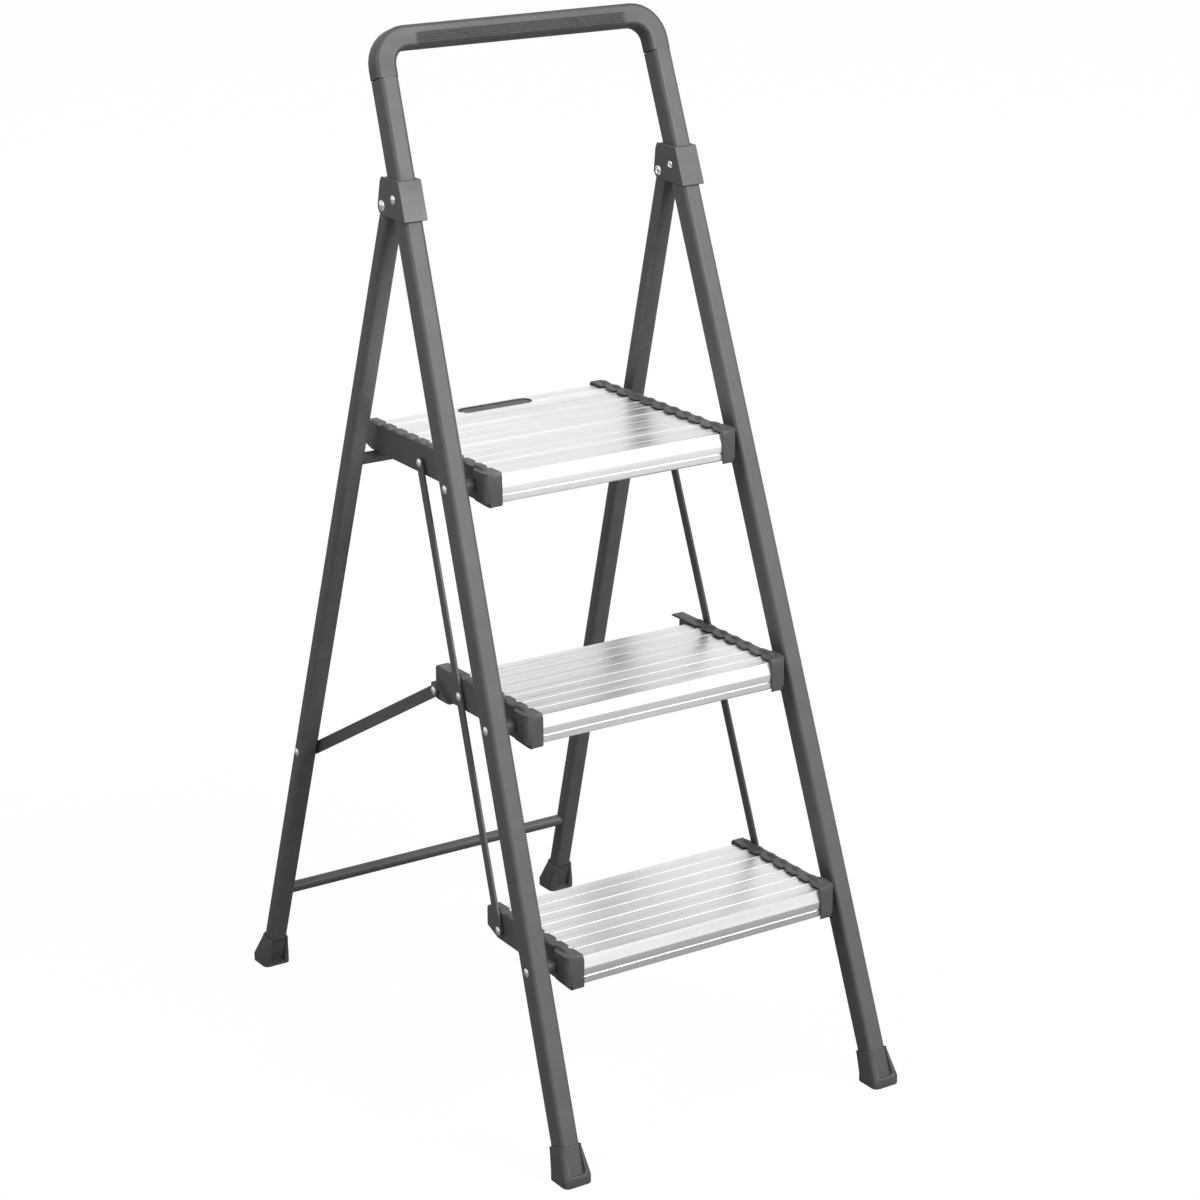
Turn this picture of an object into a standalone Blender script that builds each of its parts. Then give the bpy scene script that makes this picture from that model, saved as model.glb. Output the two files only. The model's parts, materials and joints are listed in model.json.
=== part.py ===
"""Folding three-step stool with a hand rail.

Metres, +Z up. X is the width, the user stands at -Y and climbs towards +Y.
The origin is on the floor, midway between the four feet, with the stool open.

Two tapered frames cross in a pair of hinge brackets: the front frame carries the
three steps, the rear frame props it up. Link bars keep the three steps parallel,
and a strut on each side ties the middle step to the rear legs.
"""

import math

import bmesh
import bpy
from mathutils import Matrix, Vector

MM = 0.001
SIDES = {"left": -1, "right": 1}

# Frame layout, as centre lines of the tubes on the floor and their leans.
FOOT_SPREAD = 316.4 * MM          # from the origin to a leg's line on the floor, along Y
FOOT_HALF_WIDTH = 196.5 * MM      # from the middle to a leg's line on the floor, along X
LEG_TAPER = 0.0280                # how far a leg leans inwards for each metre of height
FRONT_LEAN = math.radians(19.9)
REAR_LEAN = math.radians(16.05)
HINGE_OFFSET = 25.1 * MM          # hinge axis behind the front leg's line, square to it

# Tubes.
TUBE_WIDTH = 21.5 * MM
FRONT_TUBE_DEPTH = 24.5 * MM
REAR_TUBE_DEPTH = 17.0 * MM
TUBE_WALL = 1.2 * MM
TUBE_CORNER = 4.7 * MM
FRONT_TUBE_ABOVE_HINGE = 132.4 * MM   # to the seam under the hand rail
REAR_TUBE_ABOVE_HINGE = 4.0 * MM
CROSSBAR_RADIUS = 6.5 * MM
LOWER_CROSSBAR_HEIGHT = 99.0 * MM

# Hand rail.
RAIL_RISE = 50.5 * MM             # from that seam to the rail's outer edge, along the leg
RAIL_BEND = 28.5 * MM             # bend radius of the rail's centre line
RAIL_SPIGOT = 30.0 * MM           # how far the rail's spigots reach into the tubes
RAIL_SPIGOT_ROOT = 3.0 * MM       # and back into the rail itself

# Steps.
FIRST_STEP_HEIGHT = 215.0 * MM
STEP_RISE = 231.5 * MM
TREAD_NOSE_AHEAD = 30.3 * MM      # tread's front edge ahead of the front leg's line
RIDGE_PITCH = 22.3 * MM
TREAD_DEPTHS = {"bottom": 155.7 * MM, "middle": 155.7 * MM, "top": 248.0 * MM}
TREAD_PLATE = 2.0 * MM
TREAD_LIP_HEIGHT = 29.5 * MM
TREAD_LIP_WALL = 3.0 * MM
TREAD_REAR_LIP_HEIGHT = 18.0 * MM
TREAD_NOSE_SLANT = 4.0 * MM       # the nose leans back by this much
TREAD_NOSE_FALL = 13.0 * MM       # over this height
TREAD_GROOVE_DROP = 20.6 * MM     # groove in the front lip, under the top face
TREAD_GROOVE = 1.2 * MM
RIDGE_HEIGHT = 0.9 * MM
RIDGE_WIDTH = 2.6 * MM

# End caps, measured outwards from the visible end of the aluminium.
LEG_TO_TREAD = 30.1 * MM          # leg's inner face to the visible end of the aluminium
CAP_WIDTH = 14.0 * MM
CAP_WEB = 3.0 * MM
CAP_LIP = 2.4 * MM                # cap's thickness over and in front of the tread
CAP_FRONT_DEPTH = 30.4 * MM       # tread's top face down to the web's lower edge, behind the block
CAP_REAR_DEPTH = {"bottom": 27.4 * MM, "middle": 30.0 * MM, "top": 26.5 * MM}
CAP_REAR_REACH = {"bottom": 4.5 * MM, "middle": 29.0 * MM, "top": 4.5 * MM}
CAP_REAR_CHAMFER = {"bottom": 20.0 * MM, "middle": 12.0 * MM, "top": 14.0 * MM}
CAP_REAR_CHAMFER_RISE = {"bottom": 8.0 * MM, "middle": 6.0 * MM, "top": 4.5 * MM}
CAP_SCALLOP = 3.2 * MM
CAP_SCALLOP_WIDTH = 9.8 * MM
BLOCK_REACH = 19.5 * MM           # front corner block, outwards
BLOCK_LENGTH = 31.0 * MM
BLOCK_DEPTH = 33.0 * MM
BLOCK_REAR_DEPTH = 31.5 * MM      # the underside rises towards the block's rear end
BLOCK_NOTCH_DEPTH = 20.0 * MM     # tread's top face down to the notch in the block's outer face
BLOCK_CORNER = 9.0 * MM
STRUT_BOSS_REACH = 20.0 * MM
STRUT_BOSS_RADIUS = 7.9 * MM
STRUT_BOSS_LENGTH = 30.0 * MM     # the boss tapers away in front of the strut's pivot

# Pivots.
STEP_PIVOT_DROP = 13.6 * MM       # step pivot under the tread's top face
LINK_PIVOT_BEHIND = 107.0 * MM    # link pivot from the step pivot
LINK_PIVOT_BELOW = 2.5 * MM
STRUT_PIVOT_BEHIND = 149.8 * MM   # strut pivot from the middle step's pivot
STRUT_PIVOT_BELOW = 7.8 * MM
STRUT_FOOT_HEIGHT = 284.9 * MM    # strut's pivot on the rear leg
STEP_FOLD = math.radians(62.3)    # how far a step turns up when the stool is folded
LINK_WIDTH = 10.5 * MM
LINK_THICKNESS = 2.5 * MM
STRUT_WIDTH = 13.0 * MM
STRUT_THICKNESS = 2.5 * MM
SPACER_RADIUS = 7.0 * MM

# Rivets.
SHANK_RADIUS = 2.6 * MM
HEAD_RADIUS = 4.7 * MM
HEAD_HEIGHT = 1.9 * MM
HINGE_SHANK_RADIUS = 3.2 * MM
HINGE_HEAD_RADIUS = 5.6 * MM
TAIL_HEIGHT = 1.2 * MM
TAIL_RADIUS_SHARE = 0.86

# Hinge brackets.
BRACKET_WALL = 2.7 * MM
BRACKET_REAR_WALL = 2.2 * MM      # between the front tube and the slot for the rear leg
BRACKET_BELOW_HINGE = 9.9 * MM
BRACKET_ABOVE_HINGE = 30.1 * MM
BRACKET_LOBE = 8.6 * MM
BRACKET_CORNER = 5.0 * MM
BRACKET_TOP_BEHIND = 10.0 * MM    # how far the top runs behind the front tube's rear face

# Feet.
FOOT_WIDTH = 33.0 * MM
FOOT_DEPTH = 32.0 * MM
FOOT_CORNER = 6.0 * MM
FOOT_SKIRT = 9.0 * MM
FOOT_COLLAR_WALL = 2.2 * MM
FOOT_COLLAR_REACH = 36.0 * MM     # from the floor to the collar's rim, along the leg
FOOT_SOLE = 6.0 * MM

# Finger slot in the top step.
SLOT_LENGTH = 92.0 * MM
SLOT_WIDTH = 19.0 * MM
SLOT_FROM_REAR = 16.6 * MM
SLOT_FLANGE = 1.2 * MM
SLOT_DEPTH = 8.0 * MM

# Fits.
GAP = 0.3 * MM                    # between pieces that touch
PIVOT_CLEARANCE = 0.3 * MM        # round a rivet's shank
SKIN = 0.05 * MM                  # keeps the faces of two cuts out of one plane

ARC_STEPS = 3
RAIL_BEND_STEPS = 8
SHANK_SIDES = 12
ROUND_BAR_SIDES = 20

STEP_NAMES = ("bottom", "middle", "top")


# Places that follow from the layout.

def front_line(height):
    """Y of the front leg's centre line at a height."""
    return -FOOT_SPREAD + math.tan(FRONT_LEAN) * height


def rear_line(height):
    """Y of the rear leg's centre line at a height."""
    return FOOT_SPREAD - math.tan(REAR_LEAN) * height


def leg_x(height):
    """Distance of a leg's centre line from the middle at a height."""
    return FOOT_HALF_WIDTH - LEG_TAPER * height


def hinge_height():
    span = 2 * FOOT_SPREAD - HINGE_OFFSET / math.cos(FRONT_LEAN)
    return span / (math.tan(FRONT_LEAN) + math.tan(REAR_LEAN))


def step_top(step):
    return FIRST_STEP_HEIGHT + STEP_RISE * STEP_NAMES.index(step)


def step_pivot(step):
    """Y and Z of the axis that the step turns on."""
    height = step_top(step) - STEP_PIVOT_DROP
    return front_line(height), height


def link_pivot(step):
    y, z = step_pivot(step)
    return y + LINK_PIVOT_BEHIND, z - LINK_PIVOT_BELOW


def strut_pivot():
    y, z = step_pivot("middle")
    return y + STRUT_PIVOT_BEHIND, z - STRUT_PIVOT_BELOW


def strut_foot():
    return rear_line(STRUT_FOOT_HEIGHT), STRUT_FOOT_HEIGHT


def hinge():
    return rear_line(hinge_height()), hinge_height()


def bracket_heights():
    return hinge_height() - BRACKET_BELOW_HINGE, hinge_height() + BRACKET_ABOVE_HINGE


def collar_rivet():
    """Y and Z of the rivet that holds the bracket to the front leg."""
    height = sum(bracket_heights()) / 2
    return front_line(height), height


def leg_inner_x(height):
    return leg_x(height) - TUBE_WIDTH / 2


def leg_outer_x(height):
    return leg_x(height) + TUBE_WIDTH / 2


def tread_end(step):
    """Distance from the middle to the visible end of the aluminium."""
    return leg_inner_x(step_pivot(step)[1]) - LEG_TO_TREAD


def cap_face(step):
    """Distance from the middle to the outer face of the cap's web."""
    return tread_end(step) + CAP_WIDTH


def tread_front(step):
    return front_line(step_top(step)) - TREAD_NOSE_AHEAD


def upper_crossbar_height():
    return step_top("top") - CAP_REAR_DEPTH["top"] - GAP - CROSSBAR_RADIUS


def leg_frame(side, rear=False):
    """Matrix with its origin on the floor, Z up the leg and Y across its depth."""
    lean = -math.tan(REAR_LEAN) if rear else math.tan(FRONT_LEAN)
    along = Vector((-side * LEG_TAPER, lean, 1)).normalized()
    across = Vector((1, 0, 0))
    across = (across - across.dot(along) * along).normalized()
    behind = along.cross(across)
    frame = Matrix((across, behind, along)).transposed().to_4x4()
    foot = -FOOT_SPREAD if not rear else FOOT_SPREAD
    frame.translation = (side * FOOT_HALF_WIDTH, foot, 0)
    return frame


def reach_at(height, lean):
    """Length along a leg up to a height."""
    return height * math.sqrt(1 + math.tan(lean) ** 2 + LEG_TAPER ** 2)


def front_tube_length():
    return reach_at(hinge_height(), FRONT_LEAN) + FRONT_TUBE_ABOVE_HINGE


# Modelling helpers.

def clear_scene():
    for obj in list(bpy.data.objects):
        bpy.data.objects.remove(obj, do_unlink=True)
    for collection in list(bpy.data.collections):
        bpy.data.collections.remove(collection)


def new_collection(name):
    collection = bpy.data.collections.new(name)
    bpy.context.scene.collection.children.link(collection)
    return collection


def new_material(name, colour, roughness, metallic):
    material = bpy.data.materials.new(name)
    material.use_nodes = True
    shader = material.node_tree.nodes["Principled BSDF"]
    shader.inputs["Base Color"].default_value = (*colour, 1)
    shader.inputs["Roughness"].default_value = roughness
    shader.inputs["Metallic"].default_value = metallic
    return material


def arc(centre, radius, start, end, steps=ARC_STEPS):
    """Points round a centre, from one angle to another in degrees."""
    angles = [math.radians(start + (end - start) * i / steps) for i in range(steps + 1)]
    return [(centre[0] + radius * math.cos(a), centre[1] + radius * math.sin(a)) for a in angles]


def rounded_rectangle(width, depth, corner, steps=ARC_STEPS):
    x = width / 2 - corner
    y = depth / 2 - corner
    corners = (((x, y), 0), ((-x, y), 90), ((-x, -y), 180), ((x, -y), 270))
    return [p for centre, start in corners for p in arc(centre, corner, start, start + 90, steps)]


def outline_solid(name, outlines, thickness, frame, collection):
    """A flat outline, with holes where a second outline lies inside it, made thick along Z."""
    curve = bpy.data.curves.new(name, "CURVE")
    curve.dimensions = "2D"
    curve.fill_mode = "BOTH"
    curve.extrude = thickness / 2
    for points in outlines:
        spline = curve.splines.new("POLY")
        spline.points.add(len(points) - 1)
        for point, (x, y) in zip(spline.points, points):
            point.co = (x, y, 0, 1)
        spline.use_cyclic_u = True
    obj = bpy.data.objects.new(name, curve)
    collection.objects.link(obj)
    obj.matrix_world = frame
    return obj


def as_mesh(obj, collection):
    """The same shape as a mesh object, with its caps welded on."""
    bpy.context.view_layer.update()
    graph = bpy.context.evaluated_depsgraph_get()
    evaluated = obj.evaluated_get(graph)
    mesh = bpy.data.meshes.new_from_object(evaluated)
    frame = evaluated.matrix_world.copy()
    name = obj.name
    bpy.data.objects.remove(obj, do_unlink=True)
    shape = bmesh.new()
    shape.from_mesh(mesh)
    bmesh.ops.remove_doubles(shape, verts=shape.verts, dist=0.01 * MM)
    bmesh.ops.recalc_face_normals(shape, faces=shape.faces)
    shape.to_mesh(mesh)
    shape.free()
    solid = bpy.data.objects.new(name, mesh)
    collection.objects.link(solid)
    solid.matrix_world = frame
    return solid


def side_solid(name, outline, inner, outer, collection):
    """An outline in the YZ plane, made thick from one X to another."""
    frame = Matrix(((0, 0, 1, (inner + outer) / 2), (1, 0, 0, 0), (0, 1, 0, 0), (0, 0, 0, 1)))
    return as_mesh(outline_solid(name, [outline], abs(outer - inner), frame, collection), collection)


def plan_solid(name, outline, low, high, collection):
    """An outline in the XY plane, made thick from one height to another."""
    frame = Matrix.Translation((0, 0, (low + high) / 2))
    return as_mesh(outline_solid(name, [outline], high - low, frame, collection), collection)


def cylinder_into(shape, radius, start, end, sides):
    """Adds a cylinder between two points to a bmesh."""
    start = Vector(start)
    end = Vector(end)
    axis = end - start
    frame = Matrix.Translation((start + end) / 2) @ axis.to_track_quat("Z", "Y").to_matrix().to_4x4()
    bmesh.ops.create_cone(shape, cap_ends=True, segments=sides, radius1=radius, radius2=radius,
                          depth=axis.length, matrix=frame)


def cylinders(name, bars, collection, sides=SHANK_SIDES):
    """One object with a cylinder for each radius, start and end."""
    shape = bmesh.new()
    for radius, start, end in bars:
        cylinder_into(shape, radius, start, end, sides)
    return from_bmesh(name, shape, collection)


def from_bmesh(name, shape, collection):
    mesh = bpy.data.meshes.new(name)
    shape.to_mesh(mesh)
    shape.free()
    obj = bpy.data.objects.new(name, mesh)
    collection.objects.link(obj)
    return obj


def boolean(obj, other, operation, solver="EXACT"):
    modifier = obj.modifiers.new(operation.lower(), "BOOLEAN")
    modifier.operation = operation
    modifier.object = other
    modifier.solver = solver


def as_cutter(obj):
    obj.hide_render = True
    obj.display_type = "WIRE"
    return obj


def finish(obj, material, smooth=False):
    obj.data.materials.clear()
    obj.data.materials.append(material)
    if smooth and obj.type == "MESH":
        obj.data.shade_smooth()
        obj.data.set_sharp_from_angle(angle=math.radians(35))
    return obj


def side_part(part, side_name):
    return f"{part}_{side_name}"


# Rivet holes.

def x_bars(side, holes):
    """Holes along X, each given as (radius, inner x, outer x, (y, z)), as cylinders on one side."""
    return [(radius, (side * inner, y, z), (side * outer, y, z)) for radius, inner, outer, (y, z) in holes]


def clearance(radius):
    return radius + PIVOT_CLEARANCE


# Frames.

def tube(name, side, rear, start, end, depth, holes, parts, cutters, material):
    """A leg: a hollow rounded rectangle along the leg's line, drilled for its rivets."""
    outer = rounded_rectangle(TUBE_WIDTH, depth, TUBE_CORNER)
    bore = rounded_rectangle(TUBE_WIDTH - 2 * TUBE_WALL, depth - 2 * TUBE_WALL, TUBE_CORNER - TUBE_WALL)
    frame = leg_frame(side, rear) @ Matrix.Translation((0, 0, (start + end) / 2))
    leg = as_mesh(outline_solid(name, [outer, bore], end - start, frame, parts), parts)
    cutter = as_cutter(cylinders(f"{name}_holes", x_bars(side, holes), cutters))
    boolean(leg, cutter, "DIFFERENCE")
    return finish(leg, material, smooth=True)


def front_leg(side_name, side, parts, cutters, material):
    overshoot = TUBE_WIDTH
    places = [step_pivot(step) for step in STEP_NAMES] + [collar_rivet()]
    holes = [(clearance(SHANK_RADIUS), leg_x(z) - overshoot, leg_x(z) + overshoot, (y, z)) for y, z in places]
    tube(side_part("front_leg", side_name), side, False, FOOT_SOLE, front_tube_length(),
         FRONT_TUBE_DEPTH, holes, parts, cutters, material)


def rear_leg(side_name, side, parts, cutters, material):
    overshoot = TUBE_WIDTH
    foot_y, foot_z = strut_foot()
    hinge_y, hinge_z = hinge()
    holes = [
        (clearance(SHANK_RADIUS), leg_x(foot_z) - overshoot, leg_x(foot_z) + overshoot, (foot_y, foot_z)),
        (clearance(HINGE_SHANK_RADIUS), leg_x(hinge_z) - overshoot, leg_x(hinge_z) + overshoot,
         (hinge_y, hinge_z)),
    ]
    for height in (LOWER_CROSSBAR_HEIGHT, upper_crossbar_height()):
        bar_y = rear_line(height)
        middle = leg_x(height)
        holes.append((CROSSBAR_RADIUS + GAP, middle - overshoot, middle, (bar_y, height)))
    end = reach_at(hinge_z, REAR_LEAN) + REAR_TUBE_ABOVE_HINGE
    tube(side_part("rear_leg", side_name), side, True, FOOT_SOLE, end, REAR_TUBE_DEPTH,
         holes, parts, cutters, material)


def crossbar(name, height, parts, material):
    """A round bar whose ends sit in holes in the rear legs' inner walls."""
    half = leg_x(height) - GAP
    y = rear_line(height)
    bar = (CROSSBAR_RADIUS, (-half, y, height), (half, y, height))
    finish(cylinders(name, [bar], parts, ROUND_BAR_SIDES), material, smooth=True)


def foot(side_name, side, rear, parts, cutters, material):
    """A moulded boot: flat rounded sole, upright skirt, then a taper up to a collar round the tube."""
    depth = REAR_TUBE_DEPTH if rear else FRONT_TUBE_DEPTH
    name = side_part("rear_foot" if rear else "front_foot", side_name)
    frame = leg_frame(side, rear)
    ground = frame.translation
    sole = rounded_rectangle(FOOT_WIDTH, FOOT_DEPTH, FOOT_CORNER)
    collar_width = TUBE_WIDTH + 2 * FOOT_COLLAR_WALL
    collar_depth = depth + 2 * FOOT_COLLAR_WALL
    collar = rounded_rectangle(collar_width, collar_depth, TUBE_CORNER + FOOT_COLLAR_WALL)
    rings = [[Vector((ground.x + x, ground.y + y, z)) for x, y in sole] for z in (0, FOOT_SKIRT)]
    rings.append([frame @ Vector((x, y, FOOT_COLLAR_REACH)) for x, y in collar])
    shape = bmesh.new()
    loops = [[shape.verts.new(p) for p in ring] for ring in rings]
    shape.faces.new(reversed(loops[0]))
    shape.faces.new(loops[-1])
    for low, high in zip(loops, loops[1:]):
        for i in range(len(low)):
            j = (i + 1) % len(low)
            shape.faces.new((low[i], low[j], high[j], high[i]))
    bmesh.ops.recalc_face_normals(shape, faces=shape.faces)
    boot = from_bmesh(name, shape, parts)
    socket = rounded_rectangle(TUBE_WIDTH + 2 * GAP, depth + 2 * GAP, TUBE_CORNER + GAP)
    low = FOOT_SOLE - GAP
    high = 2 * FOOT_COLLAR_REACH
    place = frame @ Matrix.Translation((0, 0, (low + high) / 2))
    cutter = as_mesh(outline_solid(f"{name}_socket", [socket], high - low, place, cutters), cutters)
    boolean(boot, as_cutter(cutter), "DIFFERENCE")
    finish(boot, material, smooth=True)


def hand_rail(parts, cutters, material):
    """The bow over the front legs: the tube's section swept round two bends, with a spigot in each leg."""
    section = bpy.data.curves.new("rail_section", "CURVE")
    section.dimensions = "2D"
    spline = section.splines.new("POLY")
    outline = rounded_rectangle(TUBE_WIDTH, FRONT_TUBE_DEPTH, TUBE_CORNER)
    spline.points.add(len(outline) - 1)
    for point, (x, y) in zip(spline.points, outline):
        point.co = (x, y, 0, 1)
    spline.use_cyclic_u = True
    profile = bpy.data.objects.new("rail_section", section)
    cutters.objects.link(profile)
    as_cutter(profile)

    # The rail lies in the plane of the two front legs; this frame has X across and Z up that plane.
    plane = Matrix.Translation((0, -FOOT_SPREAD, 0)) @ Matrix.Rotation(-FRONT_LEAN, 4, "X")
    taper = LEG_TAPER * math.cos(FRONT_LEAN)
    seam = front_tube_length()
    start = seam + GAP
    top = seam + RAIL_RISE - TUBE_WIDTH / 2

    def leg_at(reach):
        return FOOT_HALF_WIDTH - taper * reach

    bend_low = top - RAIL_BEND
    corner_x = leg_at(bend_low) - RAIL_BEND
    path = [(leg_at(start), start), (leg_at((start + bend_low) / 2), (start + bend_low) / 2)]
    path += arc((corner_x, bend_low), RAIL_BEND, 0, 90, RAIL_BEND_STEPS)
    path += [(0, top)]
    path += [(-x, z) for x, z in reversed(path[:-1])]

    curve = bpy.data.curves.new("hand_rail", "CURVE")
    curve.dimensions = "3D"
    curve.bevel_mode = "OBJECT"
    curve.bevel_object = profile
    curve.use_fill_caps = True
    curve.twist_mode = "Z_UP"
    spline = curve.splines.new("POLY")
    spline.points.add(len(path) - 1)
    for point, (x, z) in zip(spline.points, path):
        point.co = (x, 0, z, 1)
    bow = bpy.data.objects.new("hand_rail", curve)
    parts.objects.link(bow)
    bow.matrix_world = plane
    bow = as_mesh(bow, parts)
    for side_name, side in SIDES.items():
        inset = TUBE_WALL + GAP
        plug = rounded_rectangle(TUBE_WIDTH - 2 * inset, FRONT_TUBE_DEPTH - 2 * inset, TUBE_CORNER - inset)
        low = seam - RAIL_SPIGOT
        high = seam + RAIL_SPIGOT_ROOT
        place = leg_frame(side) @ Matrix.Translation((0, 0, (low + high) / 2))
        name = side_part("rail_spigot", side_name)
        spigot = as_mesh(outline_solid(name, [plug], high - low, place, cutters), cutters)
        boolean(bow, as_cutter(spigot), "UNION")
    finish(bow, material, smooth=True)


def hinge_bracket(side_name, side, parts, cutters, material):
    """A collar round the front tube with two cheeks behind it that hold the rear leg's top."""
    name = side_part("hinge_bracket", side_name)
    hinge_y, hinge_z = hinge()
    bottom, top = bracket_heights()
    face = (FRONT_TUBE_DEPTH / 2 + GAP + BRACKET_WALL) / math.cos(FRONT_LEAN)
    rear_face = FRONT_TUBE_DEPTH / 2 / math.cos(FRONT_LEAN)
    back = front_line(top) + rear_face + BRACKET_TOP_BEHIND
    outline = [(front_line(bottom) - face, bottom)]
    outline += arc((hinge_y, hinge_z), BRACKET_LOBE, -90, 20, 2 * ARC_STEPS)
    outline += [(back - BRACKET_CORNER / 2, top - BRACKET_CORNER), (back - BRACKET_CORNER, top)]
    outline += [(front_line(top) - face, top)]
    half = TUBE_WIDTH / 2 + GAP + BRACKET_WALL
    frame = leg_frame(side)
    bracket = side_solid(name, outline, -half, half, parts)
    tilt = Matrix(((1, 0, -side * LEG_TAPER, side * FOOT_HALF_WIDTH), (0, 1, 0, 0), (0, 0, 1, 0), (0, 0, 0, 1)))
    bracket.data.transform(tilt @ bracket.matrix_world)
    bracket.matrix_world = Matrix.Identity(4)

    bore = rounded_rectangle(TUBE_WIDTH + 2 * GAP, FRONT_TUBE_DEPTH + 2 * GAP, TUBE_CORNER + GAP)
    place = frame @ Matrix.Translation((0, 0, reach_at((bottom + top) / 2, FRONT_LEAN)))
    length = 2 * (top - bottom + FRONT_TUBE_DEPTH)
    bore_cut = as_mesh(outline_solid(f"{name}_bore", [bore], length, place, cutters), cutters)
    boolean(bracket, as_cutter(bore_cut), "DIFFERENCE")

    slot_front = FRONT_TUBE_DEPTH / 2 + GAP + BRACKET_REAR_WALL
    slot_back = slot_front + 2 * REAR_TUBE_DEPTH + BRACKET_LOBE
    slot_half = TUBE_WIDTH / 2 + GAP + PIVOT_CLEARANCE / 2
    slot = [(-slot_half, slot_front), (slot_half, slot_front), (slot_half, slot_back), (-slot_half, slot_back)]
    slot_cut = as_mesh(outline_solid(f"{name}_slot", [slot], length, place, cutters), cutters)
    boolean(bracket, as_cutter(slot_cut), "DIFFERENCE")

    collar_x = leg_x(collar_rivet()[1])
    holes = [(clearance(HINGE_SHANK_RADIUS), leg_x(hinge_z) - 2 * half, leg_x(hinge_z) + 2 * half, hinge()),
             (clearance(SHANK_RADIUS), collar_x - 2 * half, collar_x + 2 * half, collar_rivet())]
    drill = as_cutter(cylinders(f"{name}_holes", x_bars(side, holes), cutters))
    boolean(bracket, drill, "DIFFERENCE")
    finish(bracket, material)


# Steps.

def tread_outline(step):
    """Section of the tread in the YZ plane: ridged plate, hollow front nose and a rear lip."""
    front = tread_front(step)
    top = step_top(step)
    depth = TREAD_DEPTHS[step]
    bead = TREAD_GROOVE_DROP
    groove = TREAD_GROOVE
    points = [(TREAD_NOSE_SLANT, 0)]
    ridges = round(depth / RIDGE_PITCH)
    for i in range(1, ridges):
        y = depth * i / ridges
        points += [(y - RIDGE_WIDTH / 2, 0), (y - RIDGE_WIDTH / 5, RIDGE_HEIGHT),
                   (y + RIDGE_WIDTH / 5, RIDGE_HEIGHT), (y + RIDGE_WIDTH / 2, 0)]
    points += [(depth - TREAD_PLATE, 0), (depth, -TREAD_PLATE), (depth, -TREAD_REAR_LIP_HEIGHT),
               (depth - TREAD_PLATE, -TREAD_REAR_LIP_HEIGHT), (depth - TREAD_PLATE, -TREAD_PLATE),
               (TREAD_NOSE_SLANT + TREAD_LIP_WALL, -TREAD_PLATE), (TREAD_LIP_WALL, -TREAD_NOSE_FALL),
               (TREAD_LIP_WALL, -TREAD_LIP_HEIGHT), (0, -TREAD_LIP_HEIGHT), (0, -bead - groove),
               (groove, -bead - groove / 2), (groove, -bead + groove / 2), (0, -bead + groove),
               (0, -TREAD_NOSE_FALL)]
    return [(front + y, top + z) for y, z in points]


def tread(step, parts, cutters, material):
    half = cap_face(step) - CAP_WEB - GAP
    plank = side_solid(f"{step}_tread", tread_outline(step), -half, half, parts)
    if step == "top":
        cutter = plan_solid("finger_slot_hole", slot_outline(GAP), step_top(step) - TREAD_REAR_LIP_HEIGHT,
                            step_top(step) + TREAD_REAR_LIP_HEIGHT, cutters)
        boolean(plank, as_cutter(cutter), "DIFFERENCE", "MANIFOLD")
    finish(plank, material)


def slot_outline(grow):
    """Stadium outline of the finger slot, with its centre near the top tread's rear edge."""
    y = tread_front("top") + TREAD_DEPTHS["top"] - SLOT_FROM_REAR
    radius = SLOT_WIDTH / 2 + grow
    straight = SLOT_LENGTH / 2 - SLOT_WIDTH / 2
    right = arc((straight, y), radius, -90, 90, 2 * ARC_STEPS)
    return right + arc((-straight, y), radius, 90, 270, 2 * ARC_STEPS)


def slot_trim(parts, cutters, material):
    """The plastic tray that lines the finger slot, sunk below the tread's face."""
    top = step_top("top")
    tray = plan_solid("finger_slot_trim", slot_outline(0), top - SLOT_DEPTH, top + SLOT_FLANGE / 2, parts)
    wall = plan_solid("finger_slot_hollow", slot_outline(-SLOT_FLANGE), top - SLOT_DEPTH + SLOT_FLANGE,
                      top + SLOT_DEPTH, cutters)
    boolean(tray, as_cutter(wall), "DIFFERENCE")
    finish(tray, material)


def cap_plan(step, side):
    """Outline of the cap seen from above: scalloped over the tread, with a corner block in front."""
    front = tread_front(step)
    depth = TREAD_DEPTHS[step]
    start = front - CAP_LIP
    rear = front + depth + CAP_REAR_REACH[step]
    inner = tread_end(step)
    outer = inner + CAP_WIDTH
    block = inner + BLOCK_REACH
    block_end = start + BLOCK_LENGTH
    points = [(inner, start)]
    points += arc((block - BLOCK_CORNER, start + BLOCK_CORNER), BLOCK_CORNER, -90, 0, 4)
    points += [(block, block_end - BLOCK_REACH + CAP_WIDTH), (outer, block_end)]
    if step == "middle":
        boss_start = strut_pivot()[0] - STRUT_BOSS_LENGTH
        reach = inner + STRUT_BOSS_REACH
        points += [(outer, boss_start), (reach, boss_start + reach - outer), (reach, rear)]
    else:
        points += [(outer, rear)]
    points += [(inner, rear)]
    ridges = round(depth / RIDGE_PITCH)
    for i in range(ridges - 1, 0, -1):
        y = front + depth * i / ridges
        foot_y = CAP_SCALLOP_WIDTH / 2
        points += [(inner, y + foot_y), (inner + CAP_SCALLOP, y + foot_y / 2),
                   (inner + CAP_SCALLOP, y - foot_y / 2), (inner, y - foot_y)]
    return [(side * x, y) for x, y in points]


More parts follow.
